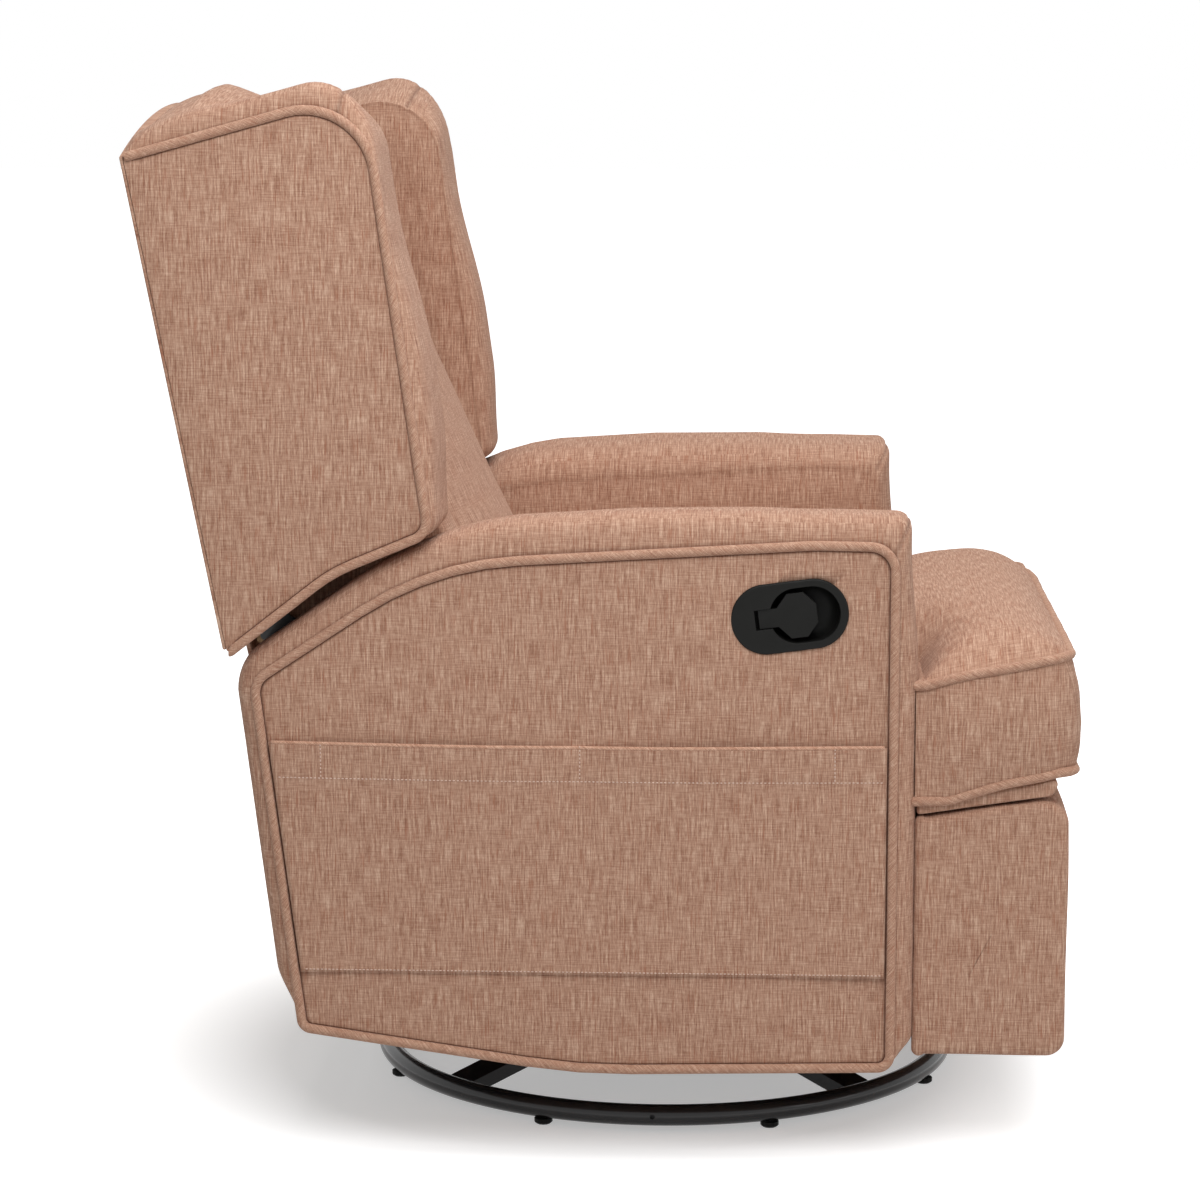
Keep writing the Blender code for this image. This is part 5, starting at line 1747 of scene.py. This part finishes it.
@dataclass
class Handle:
    """The moulded release handle: a bezel with a cup and a slot, and the paddle in it."""

    length: float = 0.1095
    height: float = 0.066
    wall: float = 0.006
    cup_along: float = 0.014
    cup_length: float = 0.066
    cup_height: float = 0.052
    cup_depth: float = 0.024
    stem_half: float = 0.0095
    stem_rear: float = -0.0325
    head_centre: float = 0.007
    head_half: float = 0.0184
    head_stretch: float = 1.14
    paddle_wall: float = 0.0060
    paddle_gap: float = 0.0008
    plate_out: float = 0.0042
    body_depth: float = 0.0268
    slot_depth: float = 0.0132
    cup_round: float = 0.012
    arm_gap: float = 0.0003
    body_start: float = 0.0020
    plate_round: float = 0.0022
    rim_round: float = 0.0009
    paddle_round: float = 0.0019
    paddle_proud: float = 0.0005
    stem_gap: float = 0.0035
    barrel_radius: float = 0.0050
    barrel_ahead: float = 0.0075
    head_sides: int = 8

    @staticmethod
    def at_handle(piece: Piece, along: float, up: float, x: float) -> None:
        """Move a piece that was made about the origin to its place on the handle.

        Args:
            piece: The piece.
            along: How far ahead of the handle's centre it goes.
            up: How far above the centre it goes.
            x: x of its middle.
        """
        centre = Vector((x, *HANDLE_CENTRE))
        turn = Matrix.Rotation(-HANDLE_TILT, 4, "X")
        piece.data.transform(Matrix.Translation(centre) @ turn @ Matrix.Translation((0.0, -along, up)))
        piece.matrix_world = Matrix.Identity(4)

    @staticmethod
    def soften(piece: Piece, width: float, segments: int) -> None:
        """Round a moulding's sharp edges and smooth its shading."""
        bevel_edges(piece, width, segments, 35.0)
        shade_by_angle(piece, 35.0)

    def box(self, along: Pair, half: float, outer: float, inner: float) -> Piece:
        """A block on the handle's axis from one place along it to another.

        Args:
            along: The two places, counted ahead of the handle's centre.
            half: Half the block's height.
            outer: x of the outer face.
            inner: x of the inner face.

        Returns:
            The block.
        """
        bpy.ops.object.select_all(action="DESELECT")
        bpy.ops.mesh.primitive_cube_add(size=1.0)
        piece = bpy.context.object
        piece.data.transform(Matrix.Diagonal((abs(inner - outer), along[1] - along[0], 2.0 * half, 1.0)))
        self.at_handle(piece, (along[0] + along[1]) / 2.0, 0.0, (outer + inner) / 2.0)
        return piece

    def build(self) -> None:
        """Build and dress the bezel and the paddle."""
        self.build_bezel()
        self.build_paddle()

    def build_bezel(self) -> None:
        """The racetrack plate, its body in the arm, the dished cup and the paddle's slot."""
        face = -HALF_WIDTH
        outer = face - self.plate_out
        bezel = racetrack("release_bezel_shell", self.length, self.height, outer, face - self.arm_gap)
        self.soften(bezel, self.plate_round, 4)
        length, height = self.length - 2.0 * self.wall, self.height - 2.0 * self.wall
        body = racetrack("body", length, height, face - self.body_start, face + self.body_depth)
        combine(bezel, body, "UNION")
        cup = racetrack("cup", self.cup_length, self.cup_height, face - CUT_PAST, face + self.cup_depth)
        cup.data.transform(Matrix.Translation((0.0, -self.cup_along, self.cup_along * math.tan(HANDLE_TILT))))
        self.round_cup(cup, face + self.cup_depth)
        combine(bezel, cup, "DIFFERENCE")
        slot = self.box((self.stem_rear, 0.0), self.stem_half, face - CUT_PAST, face + self.slot_depth)
        combine(bezel, slot, "DIFFERENCE")
        self.soften(bezel, self.rim_round, 3)
        finish_piece(bezel, "chassis", PLASTIC, ["release_bezel"])

    def round_cup(self, cup: Piece, floor_x: float) -> None:
        """Dish the cup's floor by bevelling its rim.

        Args:
            cup: The cup's cutter.
            floor_x: x of the cup's floor.
        """
        select_only(cup)
        bpy.ops.object.mode_set(mode="EDIT")
        bpy.ops.mesh.select_all(action="DESELECT")
        grid = bmesh.from_edit_mesh(cup.data)
        for edge in grid.edges:
            ends = [v.co.x for v in edge.verts]
            edge.select_set(all(abs(x - floor_x) < 1e-5 for x in ends))
        bmesh.update_edit_mesh(cup.data)
        bpy.ops.mesh.bevel(offset=self.cup_round, segments=6)
        bpy.ops.object.mode_set(mode="OBJECT")

    def build_paddle(self) -> None:
        """The T-shaped paddle: an eight-sided head on a stem, with its pivot barrel."""
        outer = -HALF_WIDTH - self.paddle_proud
        half_side = math.pi / self.head_sides
        inner = outer + self.paddle_wall
        bpy.ops.object.select_all(action="DESELECT")
        bpy.ops.mesh.primitive_cylinder_add(
            vertices=self.head_sides, radius=self.head_half / math.cos(half_side), depth=inner - outer,
            rotation=(0.0, math.pi / 2.0, 0.0),
        )
        paddle = bpy.context.object
        paddle.name = "release_paddle_shell"
        bpy.ops.object.transform_apply(location=False, rotation=True, scale=True)
        paddle.data.transform(Matrix.Rotation(half_side, 4, "X"))
        paddle.data.transform(Matrix.Diagonal((1.0, 1.0, self.head_stretch, 1.0)))
        self.at_handle(paddle, self.head_centre, 0.0, (outer + inner) / 2.0)
        half = self.stem_half - self.paddle_gap
        stem = self.box((self.stem_rear + self.stem_gap, self.head_centre), half, outer, inner)
        combine(paddle, stem, "UNION")
        bpy.ops.object.select_all(action="DESELECT")
        bpy.ops.mesh.primitive_cylinder_add(vertices=24, radius=self.barrel_radius, depth=2.0 * half)
        barrel = bpy.context.object
        self.at_handle(barrel, self.stem_rear + self.barrel_ahead, 0.0, inner)
        combine(paddle, barrel, "UNION")
        self.soften(paddle, self.paddle_round, 4)
        finish_piece(paddle, "paddle", PADDLE_PLASTIC, ["release_paddle"])


@dataclass
class Base:
    """The ring, the cross and the mechanism."""

    radius: float = 0.290
    tube_radius: float = 0.0105
    centre: Triple = (0.0, -0.050, 0.0165)
    hole_radius: float = 0.0026
    hole_depth: float = 0.012
    hole_behind: float = 0.003
    hole_above: float = 0.001

    def build(self) -> None:
        """Build the ring and dress the metalwork."""
        bpy.ops.object.select_all(action="DESELECT")
        bpy.ops.mesh.primitive_torus_add(
            location=self.centre, major_segments=180, minor_segments=24,
            major_radius=self.radius, minor_radius=self.tube_radius,
        )
        ring = bpy.context.object
        ring.name = "ring_tube"
        ring.data.transform(ring.matrix_world)
        ring.matrix_world = Matrix.Identity(4)
        bpy.ops.mesh.primitive_cylinder_add(
            vertices=20, radius=self.hole_radius, depth=self.hole_depth, rotation=(0.0, math.pi / 2.0, 0.0),
            location=(
                -self.radius - self.tube_radius, self.centre[1] + self.hole_behind,
                self.centre[2] + self.hole_above,
            ),
        )
        hole = bpy.context.object
        combine(ring, hole, "DIFFERENCE")
        shade_by_angle(ring, 40.0)
        finish_piece(ring, "base", ENAMEL, ["base_ring"])
        self.dress_nodes()

    @staticmethod
    def dress_nodes() -> None:
        """Give each node that stays on show its finish."""
        stems = {
            "footrest_board": PINE, "back_post": PINE, "back_rail": PINE, "seat_rail": PINE,
            "foot_glide": PLASTIC, "swivel_bearing": ZINC, "footrest_bracket": ZINC, "back_bracket": ENAMEL,
            "torque_tube": ZINC, "front_link": ZINC, "rear_link": ZINC, "drive_link": ZINC,
            "carrier_link": ZINC, "control_link": ZINC, "stay_link": ZINC, "seat_suspension": ZINC,
        }
        for name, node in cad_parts.items():
            finish = next((f for stem, f in stems.items() if name.startswith(stem)), ENAMEL)
            for index in range(len(node.data.materials)):
                node.data.materials[index] = finish.material()


@dataclass
class Pocket:
    """The pocket sewn on the right arm's outer panel, its hem stitched and tacked."""

    front: float = -0.2672
    low: float = 0.179
    high: float = 0.400
    hem: float = 0.367
    bulge: float = 0.0050
    columns: int = 130
    rows: int = 56
    tacks: Triple = (0.262, 0.019, -0.219)
    roll: float = 0.0019
    wall: float = 0.0024
    turned_in: float = 0.0010
    sag: float = 0.0025
    wave: float = 0.0007
    arm_foot: Pair = (0.283, 0.124)
    arm_lean: float = 0.1261
    rear_gap: float = 0.0064
    foot_row: float = 0.003
    rolled_steps: int = 120
    row_stitch: float = 0.002232
    tack_stitch: float = 0.0022
    stitch_out: float = 0.0014
    thread_radius: float = 0.00062
    row_counts: tuple[int, int] = (152, 150)
    tack_count: int = 9

    def rear(self, z: float) -> float:
        """The pocket's rear edge follows the arm's piping."""
        return self.arm_foot[0] + (z - self.arm_foot[1]) * self.arm_lean - self.rear_gap

    def stand(self, across: float, up: float) -> float:
        """How far the cloth's middle stands off the arm.

        Args:
            across: Share of the way from the front edge to the rear one.
            up: Share of the way up.

        Returns:
            The distance in metres.
        """
        slack = abs(math.sin(2.0 * math.pi * across)) ** 0.8 * up ** 1.4
        wave = self.wave * up * ripple((across * 3.0, up, 0.0), 0.35, 6.0)
        hem = self.turned_in * smooth_step(self.low + (self.high - self.low) * up, self.hem, self.hem + 0.003)
        return self.wall + self.bulge * slack + wave + hem

    def place(self, across: float, up: float) -> Triple:
        """A place on the cloth.

        Args:
            across: Share of the way from the front edge to the rear one.
            up: Share of the way up.

        Returns:
            The place.
        """
        sag = self.sag * math.sin(math.pi * across) ** 2 * up ** 3
        z = self.low + (self.high - self.low) * up - sag
        y = self.front + (self.rear(z) - self.front) * across
        return (-HALF_WIDTH - self.stand(across, up), y, z)

    def build(self) -> None:
        """Build and dress the pocket."""
        columns, rows = self.columns, self.rows
        vertices = [self.place(c / columns, r / rows) for r in range(rows + 1) for c in range(columns + 1)]
        faces = [face[::-1] for face in cells(columns, rows)]
        corners = [[vertices[v][1:] for v in face] for face in faces]
        piece = new_mesh("side_pocket_cloth", np.array(vertices), faces, corners)
        wall = piece.modifiers.new("cloth", "SOLIDIFY")
        wall.thickness = self.wall
        wall.offset = 0.0
        apply_modifier(piece, wall.name)
        finish_piece(piece, "chassis", CLOTH, ["side_pocket"])
        thread = self.stitches()
        finish_piece(thread, "chassis", THREAD)
        steps = self.rolled_steps
        edge = [Vector(self.place(0.004 + 0.992 * k / steps, 1.0)) for k in range(steps + 1)]
        roll = tube("pocket_edge_roll", edge, self.roll, False)
        # The rolled top edge wears the lighter cloth, a painted highlight.
        finish_piece(roll, "chassis", PAINTED_HIGHLIGHT_CLOTH)

    def stitches(self) -> Piece:
        """The hem's row, the foot's row and the three tacks, as short threads.

        Returns:
            The threads as one mesh.
        """
        runs: list[tuple[Vector, Vector]] = []
        deep = self.high - self.low
        for height, count in zip((self.hem, self.low + self.foot_row), self.row_counts):
            for k in range(count):
                x, y, z = self.place(0.006 + 0.988 * k / count, (height - self.low) / deep)
                start = Vector((x - self.stitch_out, y, z))
                runs.append((start, start + Vector((0.0, self.row_stitch, 0.0))))
        for y in self.tacks:
            for k in range(self.tack_count):
                z = self.hem + (self.high - self.hem) * (k + 0.3) / self.tack_count
                across = (y - self.front) / (self.rear(z) - self.front)
                start = Vector((self.place(across, (z - self.low) / deep)[0] - self.stitch_out, y, z))
                runs.append((start, start + Vector((0.0, 0.0, self.tack_stitch))))
        return threads("pocket_stitches", runs, self.thread_radius)


def threads(name: str, runs: Sequence[tuple[Vector, Vector]], radius: float) -> Piece:
    """Short straight threads as one mesh of slim six-sided rods with sunk ends.

    Args:
        name: The piece's name.
        runs: The two ends of each thread.
        radius: The threads' radius.

    Returns:
        The mesh.
    """
    sides = 6
    shape = ((0.0, 0.4), (0.25, 1.0), (0.75, 1.0), (1.0, 0.4))
    vertices = []
    faces = []
    for start, end in runs:
        along = (end - start).normalized()
        first = along.orthogonal().normalized()
        second = along.cross(first)
        base = len(vertices)
        for share, width in shape:
            middle = start.lerp(end, share)
            for k in range(sides):
                angle = 2.0 * math.pi * k / sides
                spoke = first * math.cos(angle) + second * math.sin(angle)
                vertices.append(middle + spoke * radius * width)
        last = base + (len(shape) - 1) * sides
        for low in range(base, last, sides):
            for k in range(sides):
                a, b = low + k, low + (k + 1) % sides
                faces.append((a, b, b + sides, a + sides))
        faces.append(tuple(range(base + sides - 1, base - 1, -1)))
        faces.append(tuple(range(last, last + sides)))
    piece = new_mesh(name, np.array(vertices), faces)
    face_outwards(piece)
    return piece


@dataclass(frozen=True)
class Softbox:
    """A large square lamp that faces the chair."""

    name: str
    place: Triple
    size: float
    power: float
    target: Triple = (0.0, 0.0, 0.5)

    def build(self) -> None:
        """Hang the lamp."""
        light = bpy.data.lights.new(self.name, "AREA")
        light.shape = "SQUARE"
        light.size = self.size
        light.energy = self.power
        lamp = bpy.data.objects.new(self.name, light)
        lamp.location = self.place
        lamp.rotation_euler = (Vector(self.target) - lamp.location).to_track_quat("-Z", "Y").to_euler()
        bpy.context.scene.collection.objects.link(lamp)


@dataclass
class Studio:
    """The floor, the light and the camera."""

    eye: Triple = (-3.58346767, -0.15392012, 1.03183029)
    forward: Triple = (0.98719676, 0.04741846, -0.15229589)
    lens: float = 105.0
    sensor: float = 36.0
    sky: Triple = (0.365, 0.347, 0.328)
    floor_color: Triple = (0.735, 0.75, 0.765)
    # Painted glow of the floor near the chair. It rises to white between glow_from and glow_full.
    glow: float = 0.40
    glow_from: float = 0.35
    glow_full: float = 0.60
    floor_size: float = 60.0
    floor_roughness: float = 0.9
    seen_to: float = 100.0
    lamps: tuple = (
        Softbox("key_light", (-1.47, -0.10, 1.75), 1.1, 17.5),
        Softbox("front_fill", (-1.0, -2.2, 1.3), 1.2, 9.0),
        Softbox("top_light", (0.1, -0.4, 3.2), 2.4, 48.0),
    )

    def build(self) -> None:
        """Set up the studio."""
        scene = bpy.context.scene
        scene.view_settings.view_transform = "Standard"
        self.floor()
        self.world(scene)
        for lamp in self.lamps:
            lamp.build()
        camera = bpy.data.cameras.new("camera")
        camera.lens = self.lens
        camera.sensor_width = self.sensor
        camera.clip_end = self.seen_to
        rig = bpy.data.objects.new("camera", camera)
        rig.location = self.eye
        rig.rotation_euler = Vector(self.forward).to_track_quat("-Z", "Y").to_euler()
        scene.collection.objects.link(rig)
        scene.camera = rig

    def floor(self) -> None:
        """A pale floor that turns white away from the chair, and still takes its shadow. Its glow is painted
        light, weaker near the chair, so a painted shade lies round the chair on top of the real shadow.
        """
        bpy.ops.object.select_all(action="DESELECT")
        bpy.ops.mesh.primitive_plane_add(size=self.floor_size, location=(0.0, 0.0, 0.0))
        floor = bpy.context.object
        floor.name = "floor"
        graph = Graph("studio_floor")
        graph.feed("Base Color", self.floor_color)
        graph.feed("Roughness", self.floor_roughness)
        graph.feed("Specular IOR Level", 0.0)
        place = graph.node("ShaderNodeTexCoord", {}, {}, "Object")
        away = graph.node("ShaderNodeVectorMath", {"operation": "LENGTH"}, {0: place}, "Value")
        # Painted light: the floor glows for camera, glossy and transmission rays, only weakly near the chair,
        # which paints a shade round it.
        far = graph.node("ShaderNodeMapRange", {}, {
            "Value": away, "From Min": self.glow_from, "From Max": self.glow_full,
        })
        glow = graph.mix(far, (self.glow,) * 3, (1.0, 1.0, 1.0))
        seen = Value(graph, shown_rays(graph.tree))
        graph.feed("Emission Color", graph.mix(seen, (0.0, 0.0, 0.0), glow))
        graph.feed("Emission Strength", 1.0)
        floor.data.materials.append(graph.material)

    def world(self, scene: bpy.types.Scene) -> None:
        """A plain surround, seen as white.

        Args:
            scene: The scene.
        """
        world = bpy.data.worlds.new("surround")
        world.use_nodes = True
        tree = world.node_tree
        background = tree.nodes["Background"]
        level = tree.nodes.new("ShaderNodeMix")
        level.data_type = "RGBA"
        tree.links.new(shown_rays(tree), level.inputs[0])
        level.inputs[6].default_value = (*self.sky, 1.0)
        level.inputs[7].default_value = (1.0, 1.0, 1.0, 1.0)
        tree.links.new(level.outputs[2], background.inputs["Color"])
        background.inputs["Strength"].default_value = 1.0
        scene.world = world


def main() -> None:
    """Build every sub-assembly, then the studio."""
    logging.basicConfig(level=logging.INFO, format="%(name)s: %(message)s")
    for assembly in (
        Arms(), Wings(), SeatCushion(), BackCushion(), FootrestBlock(), Boards(), Handle(), Base(), Pocket(),
    ):
        assembly.build()
    Studio().build()


if __name__ == "__main__":
    main()
